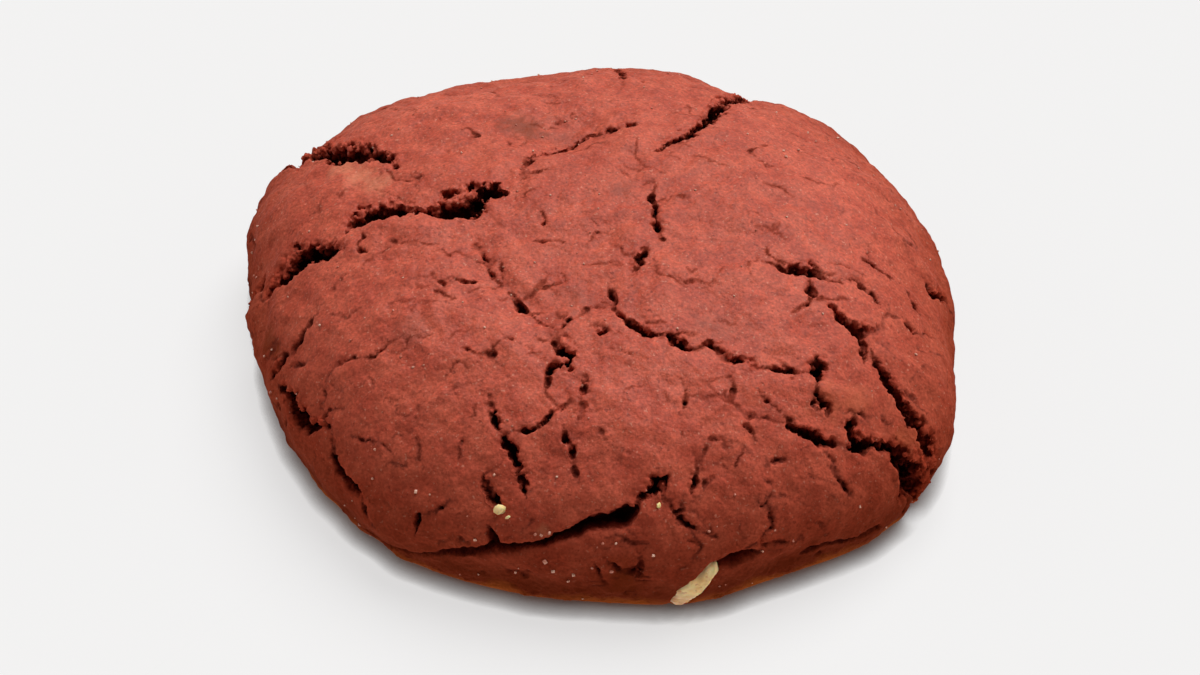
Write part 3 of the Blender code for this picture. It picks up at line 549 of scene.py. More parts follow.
def crust_profile():
    """Distance from the crown along the crust, share of the plan radius, inset and height, a row each."""
    turn = np.linspace(0, math.pi / 2, PROFILE_POINTS)
    dome = np.clip(np.cos(turn), 0, 1) ** (2 / HEIGHT_POWER)
    low = turn[1:]
    share = np.concatenate([np.sin(turn) ** (2 / PLAN_POWER), np.ones(len(low))])
    inset = np.concatenate([np.zeros(len(turn)), FOOT_INSET * (1 - np.cos(low))])
    height = np.concatenate([WAIST_HEIGHT + (HEIGHT - WAIST_HEIGHT) * dome, WAIST_HEIGHT * (1 - np.sin(low))])
    steps = np.hypot(np.diff(MEAN_RADIUS * share - inset), np.diff(height))
    return np.concatenate([[0], np.cumsum(steps)]), share, inset, height


PROFILE = crust_profile()
CRUST_REACH = PROFILE[0][-1]


def smooth_crust(right, back):
    """Points of the plain crust at map places."""
    azimuth, far = np.arctan2(back, right), np.hypot(right, back)
    share, inset, height = (np.interp(far, PROFILE[0], column) for column in PROFILE[1:])
    radius = plan_radius(azimuth) * share - inset
    x, y = CROWN[0] + radius * np.cos(azimuth), CROWN[1] + radius * np.sin(azimuth)
    return np.stack([x, y, height], axis=-1)


def crust_normal(right, back, reach=0.4):
    """Outward directions of the plain crust at map places."""
    along = smooth_crust(right + reach, back) - smooth_crust(right - reach, back)
    across = smooth_crust(right, back + reach) - smooth_crust(right, back - reach)
    out = np.cross(along, across)
    return out / np.linalg.norm(out, axis=-1, keepdims=True)


def follow(places, step=WAY_STEP):
    """A smooth way through places, with a row every step."""
    places = np.array(places, float)
    last = len(places) - 1
    rows = []
    for index in range(last):
        four = [places[min(max(index + near, 0), last)] for near in (-1, 0, 1, 2)]
        steps = max(1, round(math.dist(four[1][:2], four[2][:2]) / step))
        rows += [catmull_rom(four, share / steps) for share in range(steps)]
    return np.array([*rows, places[-1]])


def swell_height(right, back):
    """How far lobes, dents, folds and lumps lift the crust at map places."""
    lift = np.zeros(len(right))
    for swell_right, swell_back, radius, height in SWELLS.values():
        off = np.hypot(right - swell_right, back - swell_back) / radius
        lift += height * np.exp(-off * off)
    for height, breadth, places in FOLDS.values():
        way = follow(places, COARSE_STEP)
        off = np.full(len(right), np.inf)
        for way_right, way_back in way:
            off = np.minimum(off, np.hypot(right - way_right, back - way_back))
        lift += height * np.exp(-((off / breadth) ** 2))
    lump = [noise.noise(Vector((r, b, SEED * LUMP_SIZE)) / LUMP_SIZE) for r, b in zip(right, back)]
    near_floor = np.clip((CRUST_REACH - np.hypot(right, back)) / SWELL_FADE, 0.0, 1.0)
    return (lift + LUMP_HEIGHT * np.array(lump)) * near_floor


def sunk_crust(right, back, lift, depth=0.0, lean=0.0):
    """Points at map places, lifted along the crust's normal, then sunk by a depth that leans somewhere."""
    out = crust_normal(right, back)
    inwards = -out + lean
    inwards /= np.linalg.norm(inwards, axis=1, keepdims=True)
    depth = np.broadcast_to(depth, len(lift))
    spots = smooth_crust(right, back) + out * lift[:, None] + inwards * depth[:, None]
    spots[:, 2] = np.maximum(spots[:, 2], 0.0)
    return spots


# Small loose forms


def lump_form():
    """Corners and faces of a round lump, in units of its own size."""
    form = bmesh.new()
    bmesh.ops.create_icosphere(form, subdivisions=2, radius=0.5)
    return corners_and_faces(form)


def grain_form():
    """Corners and faces of a sugar crystal: a block with worn edges, in units of its own size."""
    form = bmesh.new()
    bmesh.ops.create_cube(form, size=1.0, matrix=Matrix.Diagonal((*CRYSTAL, 1.0)))
    bmesh.ops.bevel(form, geom=form.edges[:], offset=CRYSTAL_WEAR, segments=1, affect="EDGES")
    bmesh.ops.triangulate(form, faces=form.faces)
    return corners_and_faces(form)


def corners_and_faces(form):
    """A form's corners and faces as arrays. The form is used up."""
    corners = np.array([vert.co[:] for vert in form.verts])
    faces = np.array([[vert.index for vert in face.verts] for face in form.faces])
    form.free()
    return corners, faces


def random_turns(count, chance):
    """Rotations in all directions, as matrices."""
    turns = np.linalg.qr(chance.normal(size=(count, 3, 3)))[0]
    return turns * np.sign(np.linalg.det(turns))[:, None, None]


def scatter(form, centres, sizes, lumpy, chance):
    """All corners and faces of copies of a form at those centres, of those sizes, turned and lumpy."""
    corners, faces = form
    stretch = chance.uniform(1 - lumpy, 1 + lumpy, (len(centres), 1, 3))
    least, most = 1 - LUMP_DENTS * lumpy, 1 + LUMP_BULGES * lumpy
    lumps = chance.uniform(least, most, (len(centres), len(corners), 1))
    turned = (corners[None] * stretch * lumps) @ random_turns(len(centres), chance)
    spots = centres[:, None] + turned * np.asarray(sizes)[:, None, None]
    numbers = faces[None] + (np.arange(len(centres)) * len(corners))[:, None, None]
    return spots.reshape(-1, 3), numbers.reshape(-1, 3)


# The cracked crust


def depth_share(width):
    """How deep a crack of that width is, as a share of the deepest."""
    return 1 - np.exp(-((width / DEPTH_WIDTH) ** DEPTH_POWER))


class Crust:
    """The crust as a grid of points round the crown, with what the cracks do to each."""

    def __init__(self):
        rings = round(CRUST_REACH / GRID_STEP)
        self.spokes = round(math.tau * MEAN_RADIUS / GRID_STEP)
        far = np.linspace(GRID_STEP / 2, CRUST_REACH, rings)
        turn = np.arange(self.spokes) / self.spokes * math.tau
        self.right = np.outer(far, np.cos(turn)).ravel()
        self.back = np.outer(far, np.sin(turn)).ravel()
        flat = np.column_stack([self.right, self.back, np.zeros(len(self.right))])
        self.jag, self.wave, self.bite, self.teeth, self.floor = (
            layered_noise(flat, layers) for layers in (JAG, WAVE, BITE, TEETH, FLOOR)
        )
        self.cut, self.drop, self.rise, self.dark, self.torn, self.crumbly = np.zeros((6, len(flat)))
        self.lean = np.zeros((len(flat), 3))
        self.crumbs = []
        self.chance = np.random.default_rng(SEED + 1)

    def crack(self, places, lean=(0, 0, 0), deepest=DEEPEST_CUT, ragged=1.0):
        """Opens a crack: steep inside, crumbled on its far side, rounded and raised on its near one."""
        way = follow(places)
        spots, widths = way[:, :2], way[:, 2]
        ahead = np.gradient(spots, axis=0)
        ahead /= np.linalg.norm(ahead, axis=1, keepdims=True)
        reach = widths.max() + SHOULDER
        low, high = spots.min(axis=0) - reach, spots.max(axis=0) + reach
        near = np.flatnonzero(
            (self.right > low[0]) & (self.right < high[0]) & (self.back > low[1]) & (self.back < high[1])
        )
        offset = np.column_stack([self.right[near], self.back[near]])[:, None] - spots[None]
        closest = (offset**2).sum(axis=2).argmin(axis=1)
        offset = offset[np.arange(len(near)), closest]
        width, heading = widths[closest], ahead[closest]
        side = np.sign(heading[:, 0] * offset[:, 1] - heading[:, 1] * offset[:, 0])
        shift = ragged * (STRAY_LEAST + STRAY_PER_MM * width) * self.jag[near]
        off = np.abs(side * np.hypot(offset[:, 0], offset[:, 1]) + shift)
        far_side = 0.5 + 0.5 * side * np.clip(SIDE_GAIN * heading[:, 0], -1, 1)

        # How open it is, then how deep
        bite, wave, floor = self.bite[near], ragged * self.wave[near], ragged * self.floor[near]
        half = width / 2 * (1 + WAVER * wave) * (OPEN_LEAST + OPEN_MORE * np.clip(width / OPEN_WIDTH, 0, 1))
        bitten = np.minimum(BITE_LEAST + BITE_PER_MM * width * far_side, BITE_SHARE * width)
        half += ragged * (bitten * bite + np.minimum(TOOTH_SHARE * width, TOOTH_MOST) * self.teeth[near])
        edge = half - off
        wall = WALL_LEAST + (WALL_PER_MM + WALL_FAR * far_side) * width + WALL_SOFT * (1 - ragged)
        patchy = PATCHY + PATCHY_NARROW * np.clip(NARROW - width, 0, 1)
        level = np.clip(LEVEL + patchy * floor, *LEVEL_RANGE)
        depth = deepest * depth_share(width) * level
        cut = depth * np.clip(edge / wall, 0, 1)

        # Its rounded and raised edges
        outside = np.maximum(-edge, 0)
        round_over = np.minimum(ROUND_SHARE * width, ROUND_MOST) + width * ROUND_NEAR * (1 - far_side)
        drop = round_over - np.sqrt(np.maximum(round_over**2 - np.maximum(round_over - outside, 0) ** 2, 0))
        rise = RISE * width * (RISE_SIDES - far_side) * np.exp(-outside / RISE_FADE)

        # Where it has painted shade inside, where its edges are torn and where its walls are crumbly
        dark = np.clip(1 - np.maximum(off - width * DARK_CORE, 0) / DARK_FADE, 0, 1)
        dark *= np.clip((width + DARK_OFFSET) / DARK_WIDTH, 0, 1)
        dark *= np.clip(level / SHALLOW, SHALLOW_DARK, 1)
        torn = ragged * np.exp(-((outside / TORN_REACH) ** 2)) * np.clip(width - TORN_WIDTH, 0, 1)
        torn *= TORN_NEAR + TORN_FAR * far_side
        crumbly = ragged * blur_between(cut, *CRUMBLY_DEPTH)

        self.lean[near] = np.where((cut > self.cut[near])[:, None], lean, self.lean[near])
        changes = (
            (self.cut, cut), (self.drop, drop), (self.rise, rise),
            (self.dark, dark), (self.torn, torn), (self.crumbly, crumbly),
        )
        for values, new in changes:
            values[near] = np.maximum(values[near], new)
        if ragged == 1.0:
            for place, direction in zip(way, ahead):
                self.crumble(place, direction, lean, deepest)

    def crumble(self, place, ahead, lean, deepest):
        """Leaves crumbs at a place in a crack, most of them on its far wall."""
        right, back, width = place
        chance = self.chance
        expected = CRUMBS_PER_MM * WAY_STEP * max(width - CRUMB_CRACK, 0.0) ** CRUMBS_POWER
        for _ in range(chance.poisson(expected)):
            far_wall = chance.uniform() < 0.5 + FAR_WALL_CHANCE * min(SIDE_GAIN * abs(ahead[0]), 1)
            towards = ahead[0] if far_wall else -ahead[0]
            across = math.copysign(width / 2 * chance.uniform(*CRUMB_ACROSS), towards)
            depth = deepest * depth_share(width) * chance.uniform(0.0, CRUMB_DEPTH) ** CRUMB_DEPTH_POWER
            depth = depth if far_wall else max(depth, NEAR_WALL_DEPTH)
            size = chance.uniform(SMALLEST_CRUMB, min(CRUMB_SIZE + CRUMB_SIZE_PER_MM * width, LARGEST_CRUMB))
            self.crumbs.append((right - across * ahead[1], back + across * ahead[0], depth, size, *lean))

    def stain(self, name):
        """How strongly a stain shows, from 0 to 1, with broken edges."""
        share = np.zeros(len(self.right))
        broken = (STAIN_BITTEN * self.bite, STAIN_JAGGED * self.jag)
        for right, back, radius in STAINS[name][2]:
            off = np.hypot(self.right - right, self.back - back) / radius + broken[0] + broken[1]
            share = np.maximum(share, np.clip(STAIN_REACH - off, 0, 1))
        return share

    def points(self):
        """The cracked crust, in mm."""
        lift = swell_height(self.right, self.back) + self.rise - self.drop
        return sunk_crust(self.right, self.back, lift, self.cut, self.lean)

    def crumb_mesh(self):
        """Corners and faces of all crumbs in the cracks, and how deep each corner looks, which sets its
        painted shade.
        """
        right, back, depth, size, *lean = np.array(self.crumbs).T
        lift = swell_height(right, back) - CRUMB_BEDDED * size
        centres = sunk_crust(right, back, lift, depth, np.stack(lean, axis=1))
        centres[:, 2] = np.maximum(centres[:, 2], size / 2)
        spots, faces = scatter(lump_form(), centres, size, CRUMB_LUMPY, self.chance)
        return spots, faces, np.repeat(depth * CRUMB_SHADE, len(spots) // len(size))

    def mesh(self):
        """A closed mesh of the crust over its flat underside, with the crumbs in its cracks."""
        spots = np.vstack([self.points(), [(*CROWN, HEIGHT), (*CROWN, 0.0)]])
        spots[-2] = spots[: self.spokes].mean(axis=0)
        index = np.arange(len(self.right)).reshape(-1, self.spokes)
        beside = np.roll(index, -1, axis=1)
        quads = np.stack([index[:-1], index[1:], beside[1:], beside[:-1]], axis=-1).reshape(-1, 4)
        top, bottom = len(spots) - 2, len(spots) - 1
        fans = [(top, a, b) for a, b in zip(index[0], beside[0])]
        fans += [(bottom, b, a) for a, b in zip(index[-1], beside[-1])]
        crumb_spots, crumb_faces, crumb_cut = self.crumb_mesh()
        crumb_faces += len(spots)

        mesh = bpy.data.meshes.new("crust")
        faces = quads.tolist() + fans + crumb_faces.tolist()
        mesh.from_pydata(np.vstack([spots, crumb_spots]) * MM, [], faces)
        none, full = np.zeros(len(crumb_spots)), np.ones(len(crumb_spots))
        shown = {
            "cut": (self.cut, crumb_cut), "dark": (self.dark, none),
            "torn": (self.torn, full), "crumbly": (self.crumbly, full),
            **{name: (self.stain(name), none) for name in STAINS},
        }
        for name, (on_crust, on_crumbs) in shown.items():
            write_attribute(mesh, name, np.concatenate([on_crust, [0.0, 0.0], on_crumbs]))
        mesh.update()
        return mesh


def stray_hairlines():
    """Short jagged hairlines all round, most of them running from side to side, thin at both ends."""
    chance = np.random.default_rng(SEED)
    for _ in range(STRAY_HAIRLINES):
        far, turn = STRAY_REACH * math.sqrt(chance.uniform(0, 1)), chance.uniform(0, math.tau)
        places = [np.array([far * math.cos(turn), far * math.sin(turn)])]
        course = chance.normal(*STRAY_COURSE)
        for _ in range(max(2, round(chance.uniform(*STRAY_LENGTH) / STRAY_STEP))):
            heading = course + chance.normal(0, STRAY_TURN)
            places.append(places[-1] + STRAY_STEP * np.array([math.cos(heading), math.sin(heading)]))
        width = chance.uniform(*STRAY_WIDTH)
        taper = [math.sin(math.pi * (step + 0.6) / (len(places) + 0.2)) for step in range(len(places))]
        yield [(*place, width * share) for place, share in zip(places, taper)]


# Points of a mesh and their values


def read_attribute(mesh, name):
    """A value for each point, by the attribute's name."""
    values = np.empty(len(mesh.vertices), np.float32)
    mesh.attributes[name].data.foreach_get("value", values)
    return values.astype(float)


def write_attribute(mesh, name, values):
    """Keeps a value for each point under a new name."""
    attribute = mesh.attributes.new(name, "FLOAT", "POINT")
    attribute.data.foreach_set("value", values.astype(np.float32))


def read_points(mesh):
    """A mesh's points, in mm."""
    values = np.empty(len(mesh.vertices) * 3, np.float32)
    mesh.vertices.foreach_get("co", values)
    return values.reshape(-1, 3).astype(float) / MM


def write_points(mesh, spots):
    """Moves a mesh's points to places in mm."""
    mesh.vertices.foreach_set("co", (spots * MM).astype(np.float32).ravel())
    mesh.update()


def read_normals(mesh):
    """Outward directions at a mesh's points."""
    values = np.empty(len(mesh.vertices) * 3, np.float32)
    mesh.vertex_normals.foreach_get("vector", values)
    return values.reshape(-1, 3).astype(float)


def beside_chunk(spots):
    """1 for points close round the chunk, and 0 further off."""
    right, back, _ = follow(CHUNK_POCKET, COARSE_STEP).T
    off = np.full(len(spots), np.inf)
    for middle in smooth_crust(right, back):
        off = np.minimum(off, np.linalg.norm(spots - middle, axis=1))
    return blur_between(off, *CALM_ROUND_CHUNK)


def roughen(mesh):
    """Crumb in the cracks, and fine unevenness on the baked crust."""
    spots, out = read_points(mesh), read_normals(mesh)
    front = blur_between(spots[:, 1], *FRONT)
    raw = np.maximum(read_attribute(mesh, "crumbly"), read_attribute(mesh, "torn"))
    raw = np.maximum(raw, FOOT_ROUGH * blur_between(spots[:, 2], *FOOT_ROUGH_HEIGHTS) * front)
    crumb = sum(
        height * (pebble_noise(spots, size, seed) - CRUMB_LEVEL) for size, seed, height in CRUMB_RELIEF
    )
    foot = blur_between(spots[:, 2], *FOOT_LUMPY_HEIGHTS) * front
    skin = layered_noise(spots, SKIN_RELIEF) + foot * layered_noise(spots, FOOT_RELIEF)
    above = blur_between(spots[:, 2], *RIM_HEIGHTS)
    lift = (raw * crumb + (1 - raw) * skin) * above * (1 - beside_chunk(spots))
    spots += out * lift[:, None]
    low, high = (np.array(corner) / MM for corner in cad_box)
    write_points(mesh, np.clip(spots, low, high))


# The pieces


def new_piece(name, mesh):
    """A mesh as a piece of the scene."""
    piece = bpy.data.objects.new(name, mesh)
    bpy.context.scene.collection.objects.link(piece)
    return piece


def remesh(piece, size):
    """Makes one even skin over everything in a piece's mesh."""
    bpy.context.view_layer.objects.active = piece
    piece.data.remesh_voxel_size = size * MM
    piece.data.use_remesh_preserve_attributes = True
    piece.data.use_remesh_preserve_volume = False
    piece.data.use_remesh_fix_poles = False
    bpy.ops.object.voxel_remesh()


def build_crust():
    """The cookie: one skin with its cracks, crumbs and fine relief."""
    crust = Crust()
    for name, places in CRACKS.items():
        crust.crack(places, LEANS.get(name, (0, 0, 0)), ragged=SOFT_EDGE if name in SOFT_EDGED else 1.0)
    for places in HAIRLINES:
        crust.crack([(*place, HAIRLINE_WIDTH) for place in places])
    for places in stray_hairlines():
        crust.crack(places)
    crust.crack(CHUNK_POCKET, deepest=POCKET_DEPTH, ragged=SOFT_EDGE)
    piece = new_piece("cracked_cookie", crust.mesh())
    remesh(piece, VOXEL)
    roughen(piece.data)
    piece.data.shade_smooth()
    return piece


def chopped_lump(corners):
    """The tight skin round corners given in mm, as a mesh."""
    form = bmesh.new()
    for corner in corners:
        form.verts.new(corner * MM)
    hull = bmesh.ops.convex_hull(form, input=form.verts)
    inner = [part for part in hull["geom_interior"] if isinstance(part, bmesh.types.BMVert)]
    bmesh.ops.delete(form, geom=inner, context="VERTS")
    mesh = bpy.data.meshes.new("chunk")
    form.to_mesh(mesh)
    form.free()
    return mesh


def wear_edges(mesh):
    """Smooths a mesh, as edges that were handled and half melted."""
    form = bmesh.new()
    form.from_mesh(mesh)
    for _ in range(CHUNK_WEAR):
        bmesh.ops.smooth_vert(
            form, verts=form.verts, factor=0.5, use_axis_x=True, use_axis_y=True, use_axis_z=True,
        )
    form.to_mesh(mesh)
    form.free()


def build_chunk(cookie):
    """The chunk: a chopped, angular lump with worn edges and slightly melted faces."""
    hidden = [(right, back, -CHUNK_DEPTH) for right, back, _ in CHUNK_OUTLINE]
    right, back, lift = np.array(CHUNK_OUTLINE + CHUNK_CREST + hidden).T
    mesh = chopped_lump(sunk_crust(right, back, swell_height(right, back) + lift))
    piece = new_piece("chocolate_chunk", mesh)
    remesh(piece, CHUNK_VOXEL)
    wear_edges(mesh)
    spots, out = read_points(mesh), read_normals(mesh)
    spots += out * layered_noise(spots, CHIPS)[:, None]
    write_points(mesh, spots)
    gaps = [(cookie.closest_point_on_mesh(Vector(spot))[1] - Vector(spot)).length / MM for spot in spots * MM]
    off = np.array(gaps) + layered_noise(spots, DUST_EDGE)
    write_attribute(mesh, "dusted", blur_between(off, DUST_REACH, 0.0))
    mesh.shade_smooth()
    return piece


def build_bits(name, form, places, lumpy, cookie, chance):
    """One mesh of small bits that lie on the finished crust at map places."""
    right, back, size = np.array(places).T
    centres = []
    for spot, bit in zip(sunk_crust(right, back, swell_height(right, back)), size):
        _, found, out, _ = cookie.closest_point_on_mesh(Vector(spot * MM))
        centres.append(found / MM + out * bit * PROUD)
    spots, faces = scatter(form, np.array(centres), size, lumpy, chance)
    mesh = bpy.data.meshes.new(name)
    mesh.from_pydata(spots * MM, [], faces.tolist())
    mesh.shade_smooth()
    return new_piece(name, mesh)


def stray_grains(chance):
    """Sugar grains all round, as (right, back, size)."""
    for _ in range(STRAY_GRAINS):
        far, turn = CRUST_REACH * GRAIN_REACH * math.sqrt(chance.uniform(0, 1)), chance.uniform(0, math.tau)
        yield far * math.cos(turn), far * math.sin(turn), chance.uniform(*GRAIN_SIZES)


# The finishes


def linear(hex_colour):
    """An sRGB hex colour as the linear colour that a shader takes."""
    parts = [int(hex_colour[i : i + 2], 16) / 255 for i in (1, 3, 5)]
    return (*(c / 12.92 if c <= 0.04045 else ((c + 0.055) / 1.055) ** 2.4 for c in parts), 1.0)


def new_material(name):
    """An empty material and its tree."""
    material = bpy.data.materials.new(name)
    material.use_nodes = True
    tree = material.node_tree
    tree.nodes.clear()
    return material, tree


def add_node(tree, kind, inputs=(), output=0, **settings):
    """Adds a node with its settings, sets or joins its inputs, and returns one of its outputs."""
    node = tree.nodes.new(kind)
    for name, value in settings.items():
        setattr(node, name, value)
    sockets = {socket.identifier: socket for socket in node.inputs}
    for name, value in dict(inputs).items():
        if isinstance(value, bpy.types.NodeSocket):
            tree.links.new(value, sockets[name])
        else:
            sockets[name].default_value = value
    return node.outputs[output] if len(node.outputs) else node


def per_metre(size):
    """A noise's scale for cells of that size in mm."""
    return 1 / (size * MM)


def lay_over(tree, tone, layers):
    """A tone with colours laid over it in turn, each with where it shows and how strongly."""
    for share, colour, strength in layers:
        share = add_node(
            tree, "ShaderNodeMath", {"Value": share, "Value_001": strength}, operation="MULTIPLY",
        )
        tone = add_node(
            tree, "ShaderNodeMix", {"Factor_Float": share, "A_Color": tone, "B_Color": linear(colour)},
            output=2, data_type="RGBA",
        )
    return tone


def cookie_material():
    """Red velvet dough, baked matt and sandy: dull brick red, deeper where the crumb shows in the cracks,
    with painted shade in the cracks and on the low side, and painted glints among its pale specks.
    """
    material, tree = new_material("baked red velvet dough")
    place = add_node(tree, "ShaderNodeTexCoord", output="Object")
    height = add_node(tree, "ShaderNodeSeparateXYZ", {"Vector": place}, output="Z")
    marks = {
        name: add_node(tree, "ShaderNodeAttribute", output="Fac", attribute_name=name)
        for name in ("cut", "dark", "torn", *STAINS)
    }

    # Uneven baking, then blotches, then the sandy grain of the sugar
    mottle = add_node(
        tree, "ShaderNodeTexNoise", {"Vector": place, "Scale": per_metre(MOTTLE), "Detail": 3.0},
    )
    share = add_node(tree, "ShaderNodeMapRange", {"Value": mottle, "From Min": 0.36, "From Max": 0.64})
    tone = add_node(
        tree, "ShaderNodeMix",
        {"Factor_Float": share, "A_Color": linear(CRUST_DARK), "B_Color": linear(CRUST_LIGHT)},
        output=2, data_type="RGBA",
    )
    for size, depth in ((BLOTCH, BLOTCH_SHADE), (GRAIN, GRAIN_SHADE)):
        pattern = add_node(
            tree, "ShaderNodeTexNoise", {"Vector": place, "Scale": per_metre(size), "Detail": 2.0},
        )
        shade = add_node(
            tree, "ShaderNodeMapRange",
            {"Value": pattern, "From Min": 0.3, "From Max": 0.7, "To Min": 1 - depth, "To Max": 1 + depth},
        )
        tone = add_node(
            tree, "ShaderNodeMix", {"Factor_Float": 1.0, "A_Color": tone, "B_Color": shade},
            output=2, data_type="RGBA", blend_type="MULTIPLY",
        )

    # Specks: pale sugar grains that also serve as painted glints, and dark pores
    specks = {}
    for name, size, low, high in SPECKS:
        spot = add_node(
            tree, "ShaderNodeTexNoise", {"Vector": place, "Scale": per_metre(size), "Detail": 1.0},
        )
        specks[name] = add_node(
            tree, "ShaderNodeMapRange", {"Value": spot, "From Min": low, "From Max": high},
        )

    # The side is browner and darker towards the floor: baked browning, with painted shade of the low side
    # that is turned from the light. It is golden at its foot, higher in some places than in others
    start, full = BROWNING_SHADE_HEIGHTS
    foot = add_node(
        tree, "ShaderNodeMapRange",
        {"Value": height, "From Min": start * MM, "From Max": full * MM, "To Max": BROWNING_AND_SHADE},
    )
    patches = add_node(
        tree, "ShaderNodeTexNoise", {"Vector": place, "Scale": per_metre(PATCHES), "Detail": 2.0},
    )
    above_edge = add_node(
        tree, "ShaderNodeMath",
        {"Value": patches, "Value_001": PATCH_HEIGHT * MM, "Value_002": height}, operation="MULTIPLY_ADD",
    )
    start, full = GOLDEN_HEIGHTS
    rim = add_node(
        tree, "ShaderNodeMapRange",
        {"Value": above_edge, "From Min": start * MM, "From Max": full * MM, "To Max": GOLDEN_SHARE},
    )

    # Crumb shows in the cracks, with painted shade that darkens it the deeper it lies
    inside, deep = (
        add_node(tree, "ShaderNodeMapRange", {"Value": marks["cut"], "From Min": start, "From Max": full})
        for start, full in (CRUMB_SHOWS, DEEP_SHADE_SHOWS)
    )
    # Laid over in turn: specks with painted glints, stains, browning with painted shade of the low side, the
    # golden foot, torn crumb, then crumb and painted shade in the cracks
    tone = lay_over(tree, tone, [
        (specks["pale"], PALE_SPECK_AND_GLINT, 0.45),
        (specks["pore"], PORE, 0.55),
        *((marks[name], colour, strength) for name, (colour, strength, _) in STAINS.items()),
        (foot, BROWNED_AND_SHADED, 1.0),
        (rim, GOLDEN, 1.0),
        (marks["torn"], RIM_CRUMB, 0.35),
        (inside, CRUMB, 0.9),
        (deep, DEEP_CRUMB_SHADE, 1.0),
        (marks["dark"], DEEP_CRUMB_SHADE, 0.8),
    ])

    # The baked top has a faint sheen, and crumb and the low side have none
    relief = add_node(tree, "ShaderNodeTexNoise", {"Vector": place, "Scale": per_metre(SAND), "Detail": 4.0})
    bump = add_node(
        tree, "ShaderNodeBump", {"Height": relief, "Strength": 1.0, "Distance": SAND_HEIGHT * MM},
    )
    start, full = DULL_HEIGHTS
    dull = add_node(
        tree, "ShaderNodeMapRange", {"Value": height, "From Min": start * MM, "From Max": full * MM},
    )
    raw = add_node(tree, "ShaderNodeMath", {"Value": marks["dark"], "Value_001": inside}, operation="MAXIMUM")
    raw = add_node(tree, "ShaderNodeMath", {"Value": raw, "Value_001": dull}, operation="MAXIMUM")
    roughness, shine = (
        add_node(tree, "ShaderNodeMapRange", {"Value": raw, "To Min": baked, "To Max": crumb})
        for baked, crumb in (CRUST_ROUGHNESS, CRUST_SHINE)
    )
    shader = add_node(
        tree, "ShaderNodeBsdfPrincipled",
        {
            "Base Color": tone, "Roughness": roughness, "IOR": 1.45,
            "Specular IOR Level": shine, "Normal": bump,
        },
    )
    add_node(tree, "ShaderNodeOutputMaterial", {"Surface": shader})
    return material


def chocolate_material(name, toasting):
    """White chocolate, chopped and half melted: pale cream, toasted at its foot, dusted with crumb."""
    material, tree = new_material(name)
    place = add_node(tree, "ShaderNodeTexCoord", output="Object")
    height = add_node(tree, "ShaderNodeSeparateXYZ", {"Vector": place}, output="Z")
    cloud = add_node(tree, "ShaderNodeTexNoise", {"Vector": place, "Scale": per_metre(CLOUD), "Detail": 3.0})
    dust = add_node(tree, "ShaderNodeTexNoise", {"Vector": place, "Scale": per_metre(DUST), "Detail": 2.0})
    dusted = add_node(tree, "ShaderNodeAttribute", output="Fac", attribute_name="dusted")
    uneven = add_node(
        tree, "ShaderNodeMath", {"Value": cloud, "Value_001": CLOUD_HEIGHT * MM}, operation="MULTIPLY",
    )
    low = add_node(tree, "ShaderNodeMath", {"Value": height, "Value_001": uneven}, operation="SUBTRACT")
    clouded = add_node(tree, "ShaderNodeMapRange", {"Value": cloud, "From Min": 0.4, "From Max": 0.62})
    start, full = TOASTED_HEIGHTS
    toasted = add_node(
        tree, "ShaderNodeMapRange", {"Value": low, "From Min": start * MM, "From Max": full * MM},
    )
    dusty = add_node(tree, "ShaderNodeMapRange", {"Value": dust, "From Min": 0.6, "From Max": 0.7})
    tone = lay_over(tree, linear(CREAM), [
        (clouded, CREAM_LIGHT, 1.0),
        (toasted, TOASTED, toasting),
        (dusty, RIM_CRUMB, 0.45),
        (dusted, STUCK_CRUMB, 0.6),
    ])
    relief = add_node(tree, "ShaderNodeTexNoise", {"Vector": place, "Scale": per_metre(MELT), "Detail": 3.0})
    bump = add_node(tree, "ShaderNodeBump", {"Height": relief, "Distance": MELT_HEIGHT * MM})
    shader = add_node(
        tree, "ShaderNodeBsdfPrincipled",
        {
            "Base Color": tone, "Roughness": 0.42, "IOR": 1.45, "Normal": bump,
            "Subsurface Weight": MELT_GLOW, "Subsurface Scale": MELT_DEPTH * MM,
        },
    )
    add_node(tree, "ShaderNodeOutputMaterial", {"Surface": shader})
    return material


def sugar_material():
    """Sugar grains that took up a little of the dough's red: pale, glassy and sharp in their shine."""
    material, tree = new_material("stained sugar")
    place = add_node(tree, "ShaderNodeTexCoord", output="Object")
    cloud = add_node(
        tree, "ShaderNodeTexNoise", {"Vector": place, "Scale": per_metre(SUGAR_CLOUD), "Detail": 1.0},
    )
    share = add_node(tree, "ShaderNodeMapRange", {"Value": cloud, "From Min": 0.4, "From Max": 0.6})
    tone = add_node(
        tree, "ShaderNodeMix",
        {"Factor_Float": share, "A_Color": linear(SUGAR_RED), "B_Color": linear(SUGAR_PALE)},
        output=2, data_type="RGBA",
    )
    shader = add_node(tree, "ShaderNodeBsdfPrincipled", {"Base Color": tone, "Roughness": 0.22, "IOR": 1.54})
    add_node(tree, "ShaderNodeOutputMaterial", {"Surface": shader})
    return material


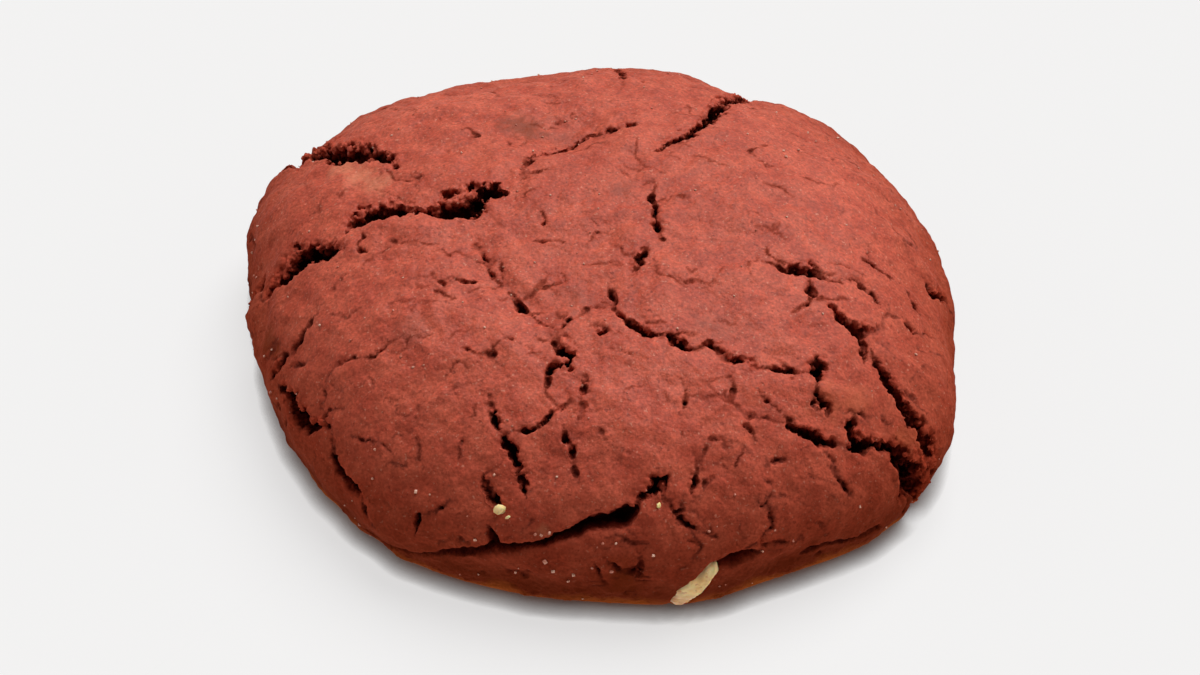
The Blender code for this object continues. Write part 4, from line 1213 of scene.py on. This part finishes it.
def floor_material():
    """Pale matt paper, mostly lit from all round: what stands on it darkens only the paper close by."""
    material, tree = new_material("pale matt floor")
    near = add_node(
        tree, "ShaderNodeAmbientOcclusion", {"Distance": SHADE_REACH * MM}, output="AO", samples=4,
    )
    open_share = add_node(
        tree, "ShaderNodeMath", {"Value": near, "Value_001": SHADE_POWER}, operation="POWER",
    )
    glow = add_node(tree, "ShaderNodeEmission", {"Color": linear("#FFFFFF"), "Strength": open_share})
    paper = add_node(tree, "ShaderNodeBsdfDiffuse", {"Color": linear(PAPER)})
    dim = add_node(tree, "ShaderNodeMixShader", {"Fac": PAPER_GLOW, "Shader": paper, "Shader_001": glow})
    add_node(tree, "ShaderNodeOutputMaterial", {"Surface": dim})
    return material


# Floor, light and camera


def set_floor():
    """A wide sheet of paper under the cookie."""
    bpy.ops.mesh.primitive_plane_add(size=FLOOR_SIZE * MM)
    floor = bpy.context.object
    floor.name = "floor"
    floor.data.materials.append(floor_material())
    floor.visible_diffuse = False
    floor.visible_glossy = False


def set_light():
    """A broad soft sun and a room that is brightest at its left and right."""
    scene = bpy.context.scene
    key = bpy.data.lights.new("key", "SUN")
    key.energy = SUN_STRENGTH
    key.angle = math.radians(SUN_SPREAD)
    lamp = bpy.data.objects.new("key", key)
    lamp.rotation_euler = Vector(SUN_PLACE).to_track_quat("Z", "Y").to_euler()
    scene.collection.objects.link(lamp)

    world = bpy.data.worlds.new("soft room")
    scene.world = world
    world.use_nodes = True
    room = world.node_tree
    room.nodes["Background"].inputs["Color"].default_value = linear(ROOM_COLOUR)
    towards = add_node(room, "ShaderNodeTexCoord", output="Generated")
    aside = add_node(room, "ShaderNodeSeparateXYZ", {"Vector": towards}, output="X")
    aside = add_node(room, "ShaderNodeMath", {"Value": aside, "Value_001": 2.0}, operation="POWER")
    least, most = ROOM_LIGHT
    sides = add_node(room, "ShaderNodeMapRange", {"Value": aside, "To Min": least, "To Max": most})

    # The pale floor throws some of the light back up
    height = add_node(room, "ShaderNodeSeparateXYZ", {"Vector": towards}, output="Z")
    floor_glow = add_node(
        room, "ShaderNodeMapRange",
        {"Value": height, "From Min": HORIZON, "From Max": -HORIZON, "To Max": FLOOR_LIGHT},
    )
    glow = add_node(room, "ShaderNodeMath", {"Value": sides, "Value_001": floor_glow}, operation="ADD")
    room.links.new(glow, room.nodes["Background"].inputs["Strength"])


def set_camera():
    """A camera that looks down on the cookie from its near side."""
    scene = bpy.context.scene
    camera = bpy.data.cameras.new("camera")
    camera.lens = CAMERA_LENS
    camera.sensor_width = CAMERA_SENSOR
    camera.clip_start = CAMERA_NEAR * MM
    view = bpy.data.objects.new("camera", camera)
    rise = math.radians(CAMERA_ELEVATION)
    back_off = Vector((0, -math.cos(rise), math.sin(rise))) * CAMERA_DISTANCE
    view.location = (Vector(CAMERA_TARGET) + back_off) * MM
    view.rotation_euler = (math.pi / 2 - rise, 0, 0)
    scene.collection.objects.link(view)
    scene.camera = view
    scene.view_settings.view_transform = "Standard"


chance = np.random.default_rng(SEED + 2)
cookie = build_crust()
chunk = build_chunk(cookie)
bits = build_bits("chocolate_bits", lump_form(), CHOCOLATE_BITS, CHOCOLATE_LUMPY, cookie, chance)
grains = [*SUGAR, *stray_grains(chance)]
sugar = build_bits("sugar_grains", grain_form(), grains, SUGAR_LUMPY, cookie, chance)
finishes = [
    (cookie, cookie_material(), "red_velvet_dough"),
    (chunk, chocolate_material("toasted white chocolate", 0.85), "white_chocolate"),
    (bits, chocolate_material("chopped white chocolate", 0.0), "white_chocolate"),
    (sugar, sugar_material(), "red_velvet_dough"),
]
for piece, material, slot in finishes:
    piece.data.materials.append(material)
    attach(piece, "root")
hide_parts("cookie")
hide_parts("white_chocolate_chunk")

set_floor()
set_light()
set_camera()
